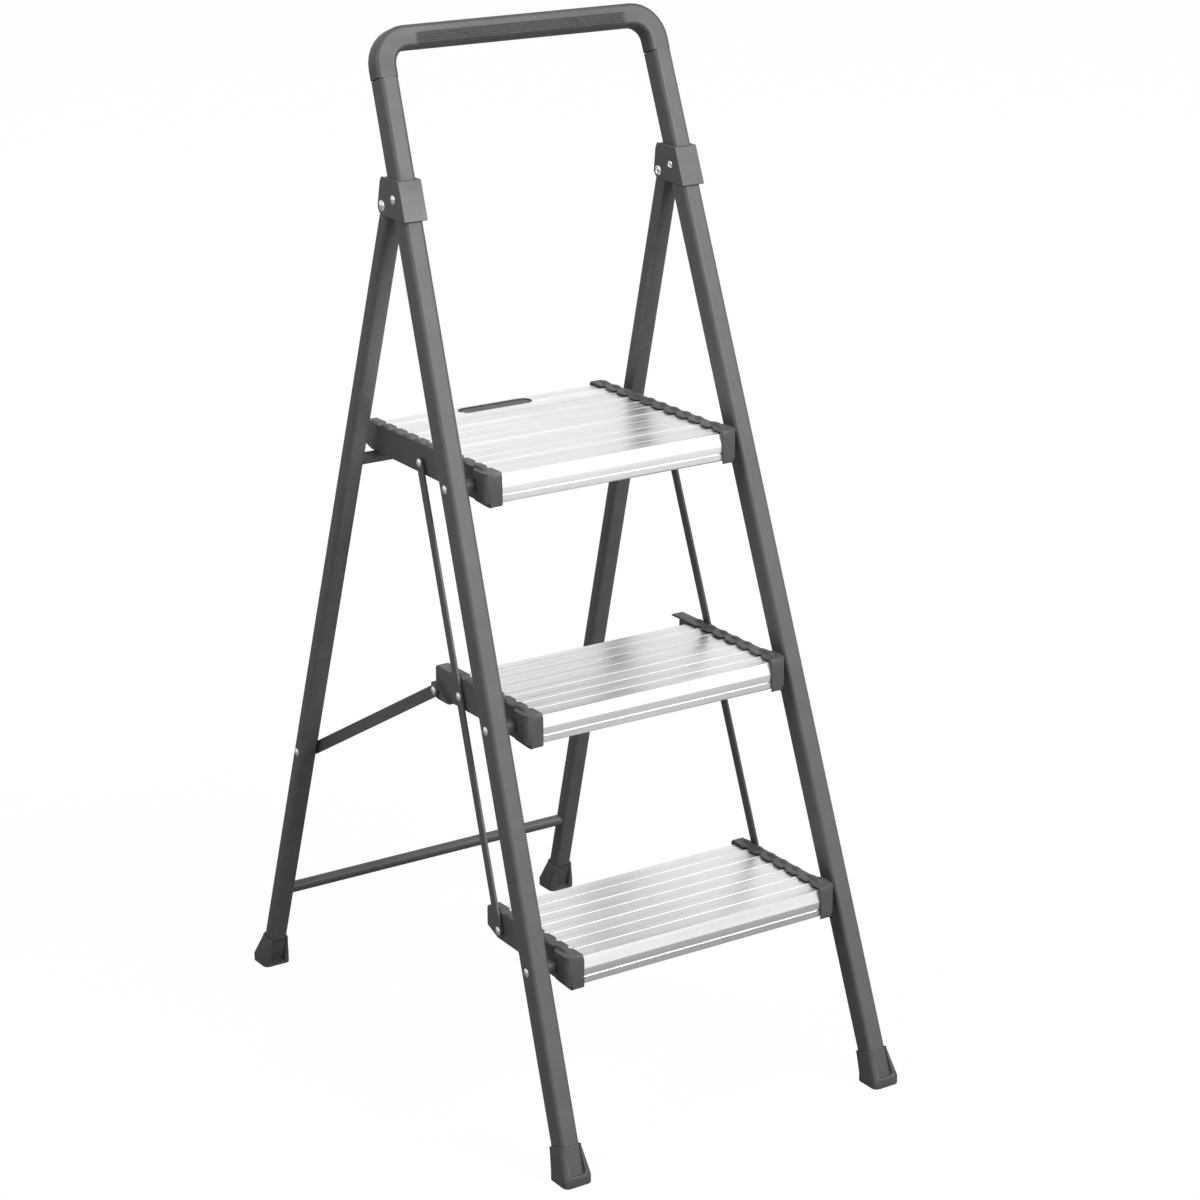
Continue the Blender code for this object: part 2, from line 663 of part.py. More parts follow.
def cap_profile(step):
    """Outline of the cap seen from the side."""
    top = step_top(step)
    front = tread_front(step) - CAP_LIP
    rear = tread_front(step) + TREAD_DEPTHS[step] + CAP_REAR_REACH[step]
    low = top - CAP_REAR_DEPTH[step]
    block_end = front + BLOCK_LENGTH
    block_low = top - BLOCK_DEPTH
    lip = top + RIDGE_HEIGHT + CAP_LIP
    points = [(front, top - TREAD_PLATE), (front + CAP_LIP, lip), (rear - CAP_LIP, lip), (rear, lip - CAP_LIP)]
    points += [(rear, low + CAP_REAR_CHAMFER_RISE[step]), (rear - CAP_REAR_CHAMFER[step], low)]
    points += [(block_end + CAP_LIP, top - CAP_FRONT_DEPTH), (block_end, top - BLOCK_REAR_DEPTH)]
    points += [(front + BLOCK_LENGTH / 3, block_low), (front + CAP_LIP, block_low)]
    points += [(front, block_low + CAP_LIP)]
    return points


def boss_cutter(side, name, cutters):
    """What is cut away round the strut's boss, so that the link bar can swing down over it."""
    y, z = strut_pivot()
    link_y, link_z = link_pivot("middle")
    rear = y + 2 * STRUT_BOSS_RADIUS

    def under_bar(at):
        return min(z + STRUT_BOSS_RADIUS, link_z + (at - link_y) * bar_slope() - bar_edge())

    front = y - STRUT_BOSS_LENGTH
    top = step_top("middle") + BLOCK_DEPTH
    low = step_top("middle") - BLOCK_DEPTH
    knee = y - STRUT_BOSS_RADIUS / 2
    outline = [(front - GAP, top), (front - GAP, low), (knee, under_bar(knee)), (rear, under_bar(rear)),
               (rear, top)]
    inner = cap_face("middle") + SKIN
    outer = cap_face("middle") + STRUT_BOSS_REACH
    return as_cutter(side_solid(name, outline, side * inner, side * outer, cutters))


def bar_slope():
    """Slope of the folded link bar across an upright step."""
    return math.tan(math.pi / 2 - FRONT_LEAN - STEP_FOLD)


def bar_edge():
    """Height of the folded link bar's edge over its centre line, with clearance."""
    return (LINK_WIDTH / 2 + GAP) / math.cos(math.atan(bar_slope()))


def block_cutter(step, side, name, cutters):
    """The notch in the block's outer face, and the room for the folded link bar under its corner."""
    start = tread_front(step) - CAP_LIP
    end = start + BLOCK_LENGTH
    link_y, link_z = link_pivot(step)
    corner = start + BLOCK_CORNER
    notch = step_top(step) - BLOCK_NOTCH_DEPTH
    low = step_top(step) - 2 * BLOCK_DEPTH

    def over_bar(at):
        return link_z + (at - link_y) * bar_slope() + bar_edge()

    outline = [(end + GAP, notch), (end + GAP, low), (start - BLOCK_CORNER, low),
               (start - BLOCK_CORNER, over_bar(start - BLOCK_CORNER)), (corner, over_bar(corner)),
               (corner, notch)]
    inner = cap_face(step) + SKIN
    outer = cap_face(step) + BLOCK_REACH
    return as_cutter(side_solid(name, outline, side * inner, side * outer, cutters))


def tread_room(step, side, name, cutters):
    """The room inside a cap for the tread's end and the open space under the tread."""
    front = tread_front(step) - GAP
    rear = tread_front(step) + TREAD_DEPTHS[step] + GAP
    if step == "middle":
        rear += CAP_REAR_REACH[step]
    top = step_top(step) + RIDGE_HEIGHT + GAP
    low = step_top(step) - 2 * BLOCK_DEPTH
    fall = step_top(step) - TREAD_NOSE_FALL
    outline = [(front + TREAD_NOSE_SLANT, top), (rear, top), (rear, low), (front, low), (front, fall)]
    outer = cap_face(step) - CAP_WEB
    return as_cutter(side_solid(name, outline, 0, side * outer, cutters))


def end_cap(step, side_name, side, parts, cutters, material):
    name = side_part(f"{step}_cap", side_name)
    top = step_top(step)
    cap = plan_solid(name, cap_plan(step, side), top - 2 * BLOCK_DEPTH, top + BLOCK_DEPTH, parts)
    half = tread_end(step) + 2 * BLOCK_REACH
    profile = side_solid(f"{name}_profile", cap_profile(step), 0, side * half, cutters)
    boolean(cap, as_cutter(profile), "INTERSECT")
    boolean(cap, tread_room(step, side, f"{name}_room", cutters), "DIFFERENCE")
    boolean(cap, block_cutter(step, side, f"{name}_notch", cutters), "DIFFERENCE")
    if step == "middle":
        boolean(cap, boss_cutter(side, f"{name}_swing", cutters), "DIFFERENCE")
    face = cap_face(step)
    room = [(SPACER_RADIUS + GAP, face + SKIN, face + 2 * CAP_WIDTH, step_pivot(step))]
    spacer_room = cylinders(f"{name}_spacer_room", x_bars(side, room), cutters)
    boolean(cap, as_cutter(spacer_room), "DIFFERENCE")
    holes = [(clearance(SHANK_RADIUS), face - 2 * CAP_WIDTH, face + 2 * CAP_WIDTH, step_pivot(step)),
             (clearance(SHANK_RADIUS), face - 2 * CAP_WIDTH, face + 2 * CAP_WIDTH, link_pivot(step))]
    if step == "middle":
        holes.append((clearance(SHANK_RADIUS), face - 2 * CAP_WIDTH, face + 2 * CAP_WIDTH, strut_pivot()))
    drill = as_cutter(cylinders(f"{name}_holes", x_bars(side, holes), cutters))
    boolean(cap, drill, "DIFFERENCE")
    finish(cap, material)


# Links, struts, spacers and rivets.

def bar_outline(start, end, width):
    """A flat bar with round ends between two points of the YZ plane."""
    run = Vector(end) - Vector(start)
    angle = math.degrees(math.atan2(run.y, run.x))
    far = arc(end, width / 2, angle - 90, angle + 90, 2 * ARC_STEPS)
    return far + arc(start, width / 2, angle + 90, angle + 270, 2 * ARC_STEPS)


def tilted_bar(name, side, start, end, start_x, end_x, width, thickness, parts):
    """A flat bar between two pivots whose inner face is at start_x at one end and end_x at the other."""
    bar = side_solid(name, bar_outline(start, end, width), 0, thickness, parts)
    run = Vector(end) - Vector(start)
    lean = (end_x - start_x) / run.length_squared
    base = Vector(start)
    mesh = bar.data
    frame = bar.matrix_world.copy()
    bar.matrix_world = Matrix.Identity(4)
    mesh.transform(frame)
    for vertex in mesh.vertices:
        along = (Vector(vertex.co.yz) - base).dot(run)
        vertex.co.x = side * (start_x + lean * along + vertex.co.x)
    if side < 0:
        mesh.flip_normals()
    return bar


def link_bar(side_name, side, parts, cutters, material):
    """The bar that ties the three steps together."""
    name = side_part("link_bar", side_name)
    bottom = link_pivot("bottom")
    top = link_pivot("top")
    bar = tilted_bar(name, side, bottom, top, link_x("bottom"), link_x("top"),
                     LINK_WIDTH, LINK_THICKNESS, parts)
    holes = [(clearance(SHANK_RADIUS), link_x(step) - CAP_WIDTH, link_x(step) + CAP_WIDTH, link_pivot(step))
             for step in STEP_NAMES]
    boolean(bar, as_cutter(cylinders(f"{name}_holes", x_bars(side, holes), cutters)), "DIFFERENCE")
    finish(bar, material)


def link_x(step):
    """X of the link bar's inner face at a step's link pivot.

    The bar leans in with the legs, so it stands off far enough to pass the middle cap's rear end,
    which is over the pivot when the steps are folded up.
    """
    rear = tread_front("middle") + TREAD_DEPTHS["middle"] + CAP_REAR_REACH["middle"]
    return cap_face(step) + GAP + LEG_TAPER * (rear - link_pivot("middle")[0])


def strut_x():
    """X of the strut's inner face at its two ends."""
    at_step = tread_end("middle") + STRUT_BOSS_REACH + GAP
    at_leg = leg_inner_x(strut_foot()[1]) - 2 * GAP - STRUT_THICKNESS
    return at_step, at_leg


def strut(side_name, side, parts, cutters, material):
    name = side_part("strut", side_name)
    at_step, at_leg = strut_x()
    bar = tilted_bar(name, side, strut_pivot(), strut_foot(), at_step, at_leg,
                     STRUT_WIDTH, STRUT_THICKNESS, parts)
    holes = [(clearance(SHANK_RADIUS), at_step - CAP_WIDTH, at_step + CAP_WIDTH, strut_pivot())]
    boolean(bar, as_cutter(cylinders(f"{name}_holes", x_bars(side, holes), cutters)), "DIFFERENCE")
    finish(bar, material)


def step_spacer(step, side_name, side, parts, material):
    """The bush that keeps a cap clear of the leg, round the step's rivet."""
    name = side_part(f"{step}_spacer", side_name)
    y, z = step_pivot(step)
    inner = cap_face(step) + GAP
    outer = leg_inner_x(z) - GAP - LEG_TAPER * SPACER_RADIUS
    turn = 360 / SHANK_SIDES
    ring = [arc((0, 0), radius, 0, 360 - turn, SHANK_SIDES - 1)
            for radius in (SPACER_RADIUS, clearance(SHANK_RADIUS))]
    frame = Matrix(((0, 0, 1, side * (inner + outer) / 2), (1, 0, 0, y), (0, 1, 0, z), (0, 0, 0, 1)))
    bush = as_mesh(outline_solid(name, ring, outer - inner, frame, parts), parts)
    finish(bush, material, smooth=True)


def rivet(name, side, inner, outer, place, shank, head, parts, material, tail=True):
    """A turned rivet along X: domed head at the outer end, rolled tail at the inner end."""
    length = outer - inner
    dome = [(head * math.sin(a), HEAD_HEIGHT * math.cos(a)) for a in (0, math.pi / 6, math.pi / 3)]
    profile = [*dome, (head, 0), (shank, 0)]
    if tail:
        rim = head * TAIL_RADIUS_SHARE
        profile += [(shank, -length), (rim, -length), (rim, -length - TAIL_HEIGHT / 2),
                    (shank, -length - TAIL_HEIGHT), (0, -length - TAIL_HEIGHT / 2)]
    else:
        profile += [(shank, -length), (0, -length)]
    mesh = bpy.data.meshes.new(name)
    mesh.from_pydata([(r, 0, z) for r, z in profile], [(i, i + 1) for i in range(len(profile) - 1)], [])
    obj = bpy.data.objects.new(name, mesh)
    parts.objects.link(obj)
    y, z = place
    obj.matrix_world = Matrix.Translation((side * outer, y, z)) @ Matrix.Rotation(side * math.pi / 2, 4, "Y")
    screw = obj.modifiers.new("turn", "SCREW")
    screw.axis = "Z"
    screw.steps = SHANK_SIDES
    screw.render_steps = SHANK_SIDES
    screw.use_merge_vertices = True
    screw.merge_threshold = 0.01 * MM
    screw.use_smooth_shade = True
    finish(obj, material)


def strut_tail(side_name, side, parts, material):
    """The rolled end of the lower pivot's pin, which stays on the strut's inner face."""
    y, z = strut_foot()
    face = strut_x()[1] - GAP
    slope = abs(strut_x()[1] - strut_x()[0]) / (Vector(strut_foot()) - Vector(strut_pivot())).length
    radius = HEAD_RADIUS * TAIL_RADIUS_SHARE
    outer = face - slope * radius
    bar = (radius, (side * (outer - TAIL_HEIGHT), y, z), (side * outer, y, z))
    disc = cylinders(side_part("strut_tail", side_name), [bar], parts)
    bevel = disc.modifiers.new("rolled_edge", "BEVEL")
    bevel.width = TAIL_HEIGHT / 3
    bevel.segments = 2
    bevel.limit_method = "ANGLE"
    finish(disc, material, smooth=True)


def rivets(side_name, side, parts, material):
    proud = GAP / 3
    for step in STEP_NAMES:
        y, z = step_pivot(step)
        tail = cap_face(step) - CAP_WEB - proud
        head = leg_outer_x(z) + LEG_TAPER * HEAD_RADIUS + proud
        rivet(side_part(f"{step}_step_rivet", side_name), side, tail, head, (y, z),
              SHANK_RADIUS, HEAD_RADIUS, parts, material)
        tilt = LEG_TAPER * HEAD_RADIUS
        rivet(side_part(f"{step}_link_rivet", side_name), side, tail,
              link_x(step) + LINK_THICKNESS + tilt + proud, link_pivot(step),
              SHANK_RADIUS, HEAD_RADIUS, parts, material)
    at_step, at_leg = strut_x()
    slope = (at_leg - at_step) / (Vector(strut_foot()) - Vector(strut_pivot())).length
    rivet(side_part("strut_rivet", side_name), side, cap_face("middle") - CAP_WEB - proud,
          at_step + STRUT_THICKNESS + slope * HEAD_RADIUS + proud, strut_pivot(),
          SHANK_RADIUS, HEAD_RADIUS, parts, material)
    y, z = strut_foot()
    rivet(side_part("strut_foot_rivet", side_name), side, leg_inner_x(z) + TUBE_WALL / 2,
          leg_outer_x(z) + LEG_TAPER * HEAD_RADIUS + proud, (y, z), SHANK_RADIUS, HEAD_RADIUS, parts,
          material, tail=False)
    cheek = GAP + BRACKET_WALL + LEG_TAPER * HINGE_HEAD_RADIUS + proud
    for part, place, shank, head in (("hinge_rivet", hinge(), HINGE_SHANK_RADIUS, HINGE_HEAD_RADIUS),
                                     ("collar_rivet", collar_rivet(), SHANK_RADIUS, HEAD_RADIUS)):
        inner = leg_inner_x(place[1]) - cheek
        outer = leg_outer_x(place[1]) + cheek
        rivet(side_part(part, side_name), side, inner, outer, place, shank, head, parts, material)


def build():
    clear_scene()
    parts = new_collection("step_stool")
    cutters = new_collection("cutters")
    paint = new_material("grey_powder_coat", (0.105, 0.105, 0.110), 0.45, 0.3)
    plastic = new_material("dark_grey_plastic", (0.085, 0.085, 0.088), 0.55, 0.0)
    aluminium = new_material("brushed_aluminium", (0.80, 0.81, 0.81), 0.28, 1.0)
    zinc = new_material("zinc_plate", (0.82, 0.83, 0.84), 0.22, 1.0)
    rubber = new_material("boot_plastic", (0.070, 0.070, 0.073), 0.65, 0.0)

    for side_name, side in SIDES.items():
        front_leg(side_name, side, parts, cutters, paint)
        rear_leg(side_name, side, parts, cutters, paint)
        foot(side_name, side, False, parts, cutters, rubber)
        foot(side_name, side, True, parts, cutters, rubber)
        hinge_bracket(side_name, side, parts, cutters, plastic)
        link_bar(side_name, side, parts, cutters, paint)
        strut(side_name, side, parts, cutters, paint)
        rivets(side_name, side, parts, zinc)
        strut_tail(side_name, side, parts, zinc)
        for step in STEP_NAMES:
            end_cap(step, side_name, side, parts, cutters, plastic)
            step_spacer(step, side_name, side, parts, plastic)
    crossbar("lower_crossbar", LOWER_CROSSBAR_HEIGHT, parts, paint)
    crossbar("upper_crossbar", upper_crossbar_height(), parts, paint)
    hand_rail(parts, cutters, plastic)
    for step in STEP_NAMES:
        tread(step, parts, cutters, aluminium)
    slot_trim(parts, cutters, plastic)


build()
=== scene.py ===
"""Folding three-step stool: the detailed look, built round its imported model.

Metres, +Z up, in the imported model's own frame.
"""

import json
import math

import bmesh
import bpy
from mathutils import Matrix, Vector


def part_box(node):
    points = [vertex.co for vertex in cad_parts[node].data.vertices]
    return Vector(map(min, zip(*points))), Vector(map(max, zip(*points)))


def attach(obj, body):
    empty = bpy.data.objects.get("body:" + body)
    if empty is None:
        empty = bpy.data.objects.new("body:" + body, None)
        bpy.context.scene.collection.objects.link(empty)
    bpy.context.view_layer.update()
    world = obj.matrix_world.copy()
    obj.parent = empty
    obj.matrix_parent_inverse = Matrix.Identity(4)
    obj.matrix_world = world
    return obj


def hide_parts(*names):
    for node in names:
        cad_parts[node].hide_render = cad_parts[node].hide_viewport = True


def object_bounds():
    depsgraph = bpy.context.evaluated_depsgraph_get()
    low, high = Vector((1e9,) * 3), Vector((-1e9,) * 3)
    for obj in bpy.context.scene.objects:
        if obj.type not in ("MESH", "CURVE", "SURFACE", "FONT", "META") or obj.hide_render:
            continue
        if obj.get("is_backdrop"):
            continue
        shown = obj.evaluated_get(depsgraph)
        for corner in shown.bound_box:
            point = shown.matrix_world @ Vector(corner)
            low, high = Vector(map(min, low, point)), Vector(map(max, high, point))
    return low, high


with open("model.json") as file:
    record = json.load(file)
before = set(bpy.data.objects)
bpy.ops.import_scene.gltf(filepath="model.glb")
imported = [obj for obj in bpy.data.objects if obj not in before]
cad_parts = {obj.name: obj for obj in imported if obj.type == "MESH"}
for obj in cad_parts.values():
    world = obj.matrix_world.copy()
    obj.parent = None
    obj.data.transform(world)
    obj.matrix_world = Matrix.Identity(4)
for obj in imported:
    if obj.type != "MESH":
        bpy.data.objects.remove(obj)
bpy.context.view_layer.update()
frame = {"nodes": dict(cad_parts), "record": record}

MM = 0.001
SIDES = {"left": -1, "right": 1}
STEPS = ("bottom", "middle", "top")

# Legs.
LEAN = {"front": math.radians(19.9), "rear": -math.radians(16.05)}
LEG_TAPER = 0.0280               # how far each leg leans inwards for every metre up
TUBE_WIDTH = 21.5 * MM
TUBE_DEPTH = {"front": 24.5 * MM, "rear": 17.0 * MM}

# Boots. The leg's line meets the floor this far in from a boot's outer side and from its toe.
GROUND_FROM_SIDE = 16.5 * MM
GROUND_FROM_TOE = 16.0 * MM
RECESS_HALF_WIDTH = 8.6 * MM
RECESS_FOOT = 6.0 * MM
RECESS_CORNER = 2.4 * MM
RECESS_FROM_TUBE = 0.7 * MM
BEYOND_BOOT = 60 * MM            # past the boot's mouth
BEYOND_TOE = 14 * MM
BOOT_WALL = 1.5 * MM
RIM_REACH = 35.2 * MM
RIM_CORNER = 6.0 * MM
RIM_THICKNESS = 2.2 * MM
RIM_GAP = 9.5 * MM               # half the gap that the recess leaves in the rim

# Treads.
RIDGE_PITCH = 22.3 * MM
RIDGE_ROOM = 0.9 * MM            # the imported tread's ridges stand this far over its face
RIDGE_HEIGHT = 0.5 * MM
RIDGE_WIDTH = 1.6 * MM
COMPANION_BEHIND = 9.0 * MM      # the faint line behind each ridge
PLATE = 2.0 * MM
NOSE_SLANT = 4.0 * MM
NOSE_FALL = 13.0 * MM
LIP_HEIGHT = 29.5 * MM
LIP_WALL = 3.0 * MM
REAR_LIP_HEIGHT = 18.0 * MM
LIP_EASE = 1.6 * MM
GROOVE_DROP = 20.6 * MM
GROOVE = 1.3 * MM
SLOT_ROOM = 0.3 * MM             # between the finger slot and its insert
SLOT_CUT = 40 * MM               # how far the cut goes, up and down

# Pads along the end caps: (length, width, height), and where they stand.
PAD = (16.0 * MM, 7.0 * MM, 5.2 * MM)
SHOULDER = (26.0 * MM, 7.2 * MM, 6.4 * MM)
PAD_FROM_TREAD = 10.4 * MM
PAD_SINK = 0.3 * MM

# Finger slot insert.
INSERT_WALL = 1.4 * MM
INSERT_FLOOR = 1.3 * MM
INSERT_RIBS = 20
INSERT_RIB = (1.3 * MM, 1.1 * MM)

# Hand rail.
GRIP_LINES = 6
GRIP_FIRST = 7.4 * MM            # below the rail's outer side
GRIP_PITCH = 2.1 * MM
GRIP_HALF_LENGTH = 126 * MM
GRIP_LINE = 1.0 * MM

# Rivets: (head radius, shank radius). The depths are shares of the head's radius.
PIN = (4.7 * MM, 2.6 * MM)
HINGE_PIN = (6.2 * MM, 3.2 * MM)
HEAD_DEPTH = 0.41
TAIL_DEPTH = 0.24

SHARP = math.radians(38)


# Shader groups.

def new_group(name, inputs, outputs):
    """A shader node group with float inputs given as {label: value}, and {label: socket type} outputs."""
    tree = bpy.data.node_groups.new(name, "ShaderNodeTree")
    tree.interface.new_socket("Place", in_out="INPUT", socket_type="NodeSocketVector")
    for label, value in inputs.items():
        socket = tree.interface.new_socket(label, in_out="INPUT", socket_type="NodeSocketFloat")
        socket.default_value = value
    for label, kind in outputs.items():
        tree.interface.new_socket(label, in_out="OUTPUT", socket_type=kind)
    return tree, tree.nodes.new("NodeGroupInput"), tree.nodes.new("NodeGroupOutput")


def add(tree, kind, **settings):
    node = tree.nodes.new(kind)
    for key, value in settings.items():
        setattr(node, key, value)
    return node


def noise(tree, place, scale, detail=2.0, roughness=0.5):
    """Noise of a scale that is a socket or a number."""
    node = add(tree, "ShaderNodeTexNoise")
    tree.links.new(place, node.inputs["Vector"])
    if isinstance(scale, bpy.types.NodeSocket):
        tree.links.new(scale, node.inputs["Scale"])
    else:
        node.inputs["Scale"].default_value = scale
    node.inputs["Detail"].default_value = detail
    node.inputs["Roughness"].default_value = roughness
    return node.outputs["Fac"]


def maths(tree, operation, first, second=None, clamp=False):
    node = add(tree, "ShaderNodeMath", operation=operation, use_clamp=clamp)
    for socket, value in zip(node.inputs, (first, second)):
        if isinstance(value, bpy.types.NodeSocket):
            tree.links.new(value, socket)
        elif value is not None:
            socket.default_value = value
    return node.outputs["Value"]


def remap(tree, value, low, high, to_low=0.0, to_high=1.0):
    node = add(tree, "ShaderNodeMapRange")
    for label, part in (("Value", value), ("From Min", low), ("From Max", high),
                        ("To Min", to_low), ("To Max", to_high)):
        if isinstance(part, bpy.types.NodeSocket):
            tree.links.new(part, node.inputs[label])
        else:
            node.inputs[label].default_value = part
    return node.outputs["Result"]


def stretched(tree, place, stretch):
    node = add(tree, "ShaderNodeMapping")
    tree.links.new(place, node.inputs["Vector"])
    node.inputs["Scale"].default_value = stretch
    return node.outputs["Vector"]


def orange_peel_group():
    """Sprayed and baked powder: shallow rounded bumps with a fine sparkle on top."""
    tree, start, end = new_group("orange_peel", {"Scale": 500.0, "Sparkle": 0.3},
                                 {"Height": "NodeSocketFloat", "Tone": "NodeSocketFloat"})
    place = start.outputs["Place"]
    bumps = noise(tree, place, start.outputs["Scale"], 1.0)
    fine = noise(tree, place, maths(tree, "MULTIPLY", start.outputs["Scale"], 4.0), 1.0)
    sparkle = maths(tree, "MULTIPLY", fine, start.outputs["Sparkle"])
    tree.links.new(maths(tree, "ADD", bumps, sparkle), end.inputs["Height"])
    cloud = noise(tree, place, 14.0, 3.0)
    speck = remap(tree, fine, 0.62, 0.78)
    tree.links.new(maths(tree, "ADD", cloud, maths(tree, "MULTIPLY", speck, 0.25)), end.inputs["Tone"])
    return tree


def edge_wear_group():
    """Mask of the edges that hands and shoes rub, broken up so that it isn't one even line."""
    tree, start, end = new_group("edge_wear", {"Amount": 0.5, "Break-up": 60.0}, {"Mask": "NodeSocketFloat"})
    geometry = add(tree, "ShaderNodeNewGeometry")
    edge = remap(tree, geometry.outputs["Pointiness"], 0.515, 0.60)
    patches = remap(tree, noise(tree, start.outputs["Place"], start.outputs["Break-up"], 4.0, 0.6), 0.42, 0.68)
    rubbed = maths(tree, "MULTIPLY", edge, patches)
    tree.links.new(maths(tree, "MULTIPLY", rubbed, start.outputs["Amount"], clamp=True), end.inputs["Mask"])
    return tree


def moulded_group():
    """Fine spark-eroded texture of a moulded part, with faint flow marks."""
    tree, start, end = new_group("moulded_texture", {"Scale": 1500.0},
                                 {"Height": "NodeSocketFloat", "Tone": "NodeSocketFloat"})
    place = start.outputs["Place"]
    cell = add(tree, "ShaderNodeTexVoronoi", feature="SMOOTH_F1")
    tree.links.new(place, cell.inputs["Vector"])
    tree.links.new(start.outputs["Scale"], cell.inputs["Scale"])
    grain = noise(tree, place, maths(tree, "MULTIPLY", start.outputs["Scale"], 1.7), 2.0)
    tree.links.new(maths(tree, "ADD", cell.outputs["Distance"], grain), end.inputs["Height"])
    flow = noise(tree, stretched(tree, place, (9, 30, 30)), 1.0, 3.0)
    tree.links.new(flow, end.inputs["Tone"])
    return tree


def brushed_group():
    """Long hairlines along X, in bands of stronger and weaker brushing."""
    tree, start, end = new_group("brushed_lines", {"Fineness": 1.0, "Banding": 1.0},
                                 {"Height": "NodeSocketFloat", "Bands": "NodeSocketFloat"})
    place = start.outputs["Place"]
    hairs = noise(tree, stretched(tree, place, (6, 2600, 2600)), start.outputs["Fineness"], 3.0, 0.65)
    lines = noise(tree, stretched(tree, place, (3, 620, 620)), start.outputs["Fineness"], 2.0)
    tree.links.new(maths(tree, "ADD", hairs, maths(tree, "MULTIPLY", lines, 0.6)), end.inputs["Height"])
    bands = noise(tree, stretched(tree, place, (1.6, 46, 46)), start.outputs["Banding"], 3.0, 0.55)
    tree.links.new(bands, end.inputs["Bands"])
    return tree


def dust_group():
    """Mask of settled dust and scuffs, strongest on faces that look up."""
    tree, start, end = new_group("settled_dust", {"Amount": 0.4, "Patch": 22.0}, {"Mask": "NodeSocketFloat"})
    geometry = add(tree, "ShaderNodeNewGeometry")
    split = add(tree, "ShaderNodeSeparateXYZ")
    tree.links.new(geometry.outputs["Normal"], split.inputs["Vector"])
    upward = remap(tree, split.outputs["Z"], 0.1, 1.0, 0.25, 1.0)
    patches = remap(tree, noise(tree, start.outputs["Place"], start.outputs["Patch"], 5.0, 0.62), 0.45, 0.75)
    mask = maths(tree, "MULTIPLY", upward, patches)
    tree.links.new(maths(tree, "MULTIPLY", mask, start.outputs["Amount"], clamp=True), end.inputs["Mask"])
    return tree


GROUPS = {"orange_peel": orange_peel_group(), "edge_wear": edge_wear_group(), "moulded": moulded_group(),
          "brushed": brushed_group(), "dust": dust_group()}


# Materials.

class Finish:
    """A material being wired up round its Principled shader."""

    def __init__(self, name, roughness, metallic=0.0, specular=0.5):
        self.material = bpy.data.materials.new(name)
        self.material.use_nodes = True
        self.tree = self.material.node_tree
        self.shader = self.tree.nodes["Principled BSDF"]
        self.shader.inputs["Roughness"].default_value = roughness
        self.shader.inputs["Metallic"].default_value = metallic
        self.shader.inputs["Specular IOR Level"].default_value = specular
        place = add(self.tree, "ShaderNodeTexCoord")
        self.place = place.outputs["Object"]

    def group(self, key, **values):
        node = add(self.tree, "ShaderNodeGroup", node_tree=GROUPS[key])
        self.tree.links.new(self.place, node.inputs["Place"])
        for label, value in values.items():
            node.inputs[label.replace("_", " ")].default_value = value
        return node.outputs

    def mix(self, mask, first, second):
        node = add(self.tree, "ShaderNodeMix", data_type="RGBA")
        self.tree.links.new(mask, node.inputs["Factor"])
        for socket, value in ((node.inputs[6], first), (node.inputs[7], second)):
            if isinstance(value, bpy.types.NodeSocket):
                self.tree.links.new(value, socket)
            else:
                socket.default_value = (*value, 1)
        return node.outputs[2]

    def colour(self, socket):
        self.tree.links.new(socket, self.shader.inputs["Base Color"])

    def roughness(self, socket):
        self.tree.links.new(socket, self.shader.inputs["Roughness"])

    def bump(self, height, strength, distance):
        node = add(self.tree, "ShaderNodeBump")
        node.inputs["Strength"].default_value = strength
        node.inputs["Distance"].default_value = distance
        self.tree.links.new(height, node.inputs["Height"])
        self.tree.links.new(node.outputs["Normal"], self.shader.inputs["Normal"])


def grey(value):
    return value, value, value * 1.03


def powder_coat():
    finish = Finish("grey_powder_coat", 0.5, specular=0.42)
    peel = finish.group("orange_peel", Scale=520.0, Sparkle=0.35)
    wear = finish.group("edge_wear", Amount=0.35)
    dust = finish.group("dust", Amount=0.05)
    base = finish.mix(remap(finish.tree, peel["Tone"], 0.3, 0.85), grey(0.068), grey(0.074))
    base = finish.mix(wear["Mask"], base, grey(0.12))
    finish.colour(finish.mix(dust["Mask"], base, grey(0.16)))
    finish.roughness(remap(finish.tree, peel["Tone"], 0.3, 0.9, 0.46, 0.56))
    finish.bump(peel["Height"], 0.30, 0.10 * MM)
    return finish.material


def plastic(name, low, high, texture=1500.0, shine=0.46):
    finish = Finish(name, shine, specular=0.5)
    skin = finish.group("moulded", Scale=texture)
    wear = finish.group("edge_wear", Amount=0.45)
    dust = finish.group("dust", Amount=0.06)
    base = finish.mix(remap(finish.tree, skin["Tone"], 0.3, 0.7), grey(low), grey(high))
    base = finish.mix(wear["Mask"], base, grey(high * 1.8))
    finish.colour(finish.mix(dust["Mask"], base, grey(high * 2.6)))
    finish.roughness(remap(finish.tree, skin["Tone"], 0.3, 0.7, shine - 0.05, shine + 0.07))
    finish.bump(skin["Height"], 0.35, 0.08 * MM)
    return finish.material


def brushed_aluminium():
    finish = Finish("brushed_aluminium", 0.34, metallic=1.0)
    lines = finish.group("brushed")
    dust = finish.group("dust", Amount=0.22)
    wear = finish.group("edge_wear", Amount=0.4)
    tone = remap(finish.tree, lines["Bands"], 0.32, 0.68)
    base = finish.mix(tone, (0.86, 0.87, 0.87), (0.93, 0.935, 0.935))
    base = finish.mix(wear["Mask"], base, (0.97, 0.97, 0.97))
    finish.colour(finish.mix(dust["Mask"], base, (0.72, 0.72, 0.71)))
    finish.roughness(remap(finish.tree, lines["Bands"], 0.3, 0.7, 0.26, 0.42))
    finish.bump(lines["Height"], 0.25, 0.05 * MM)
    return finish.material


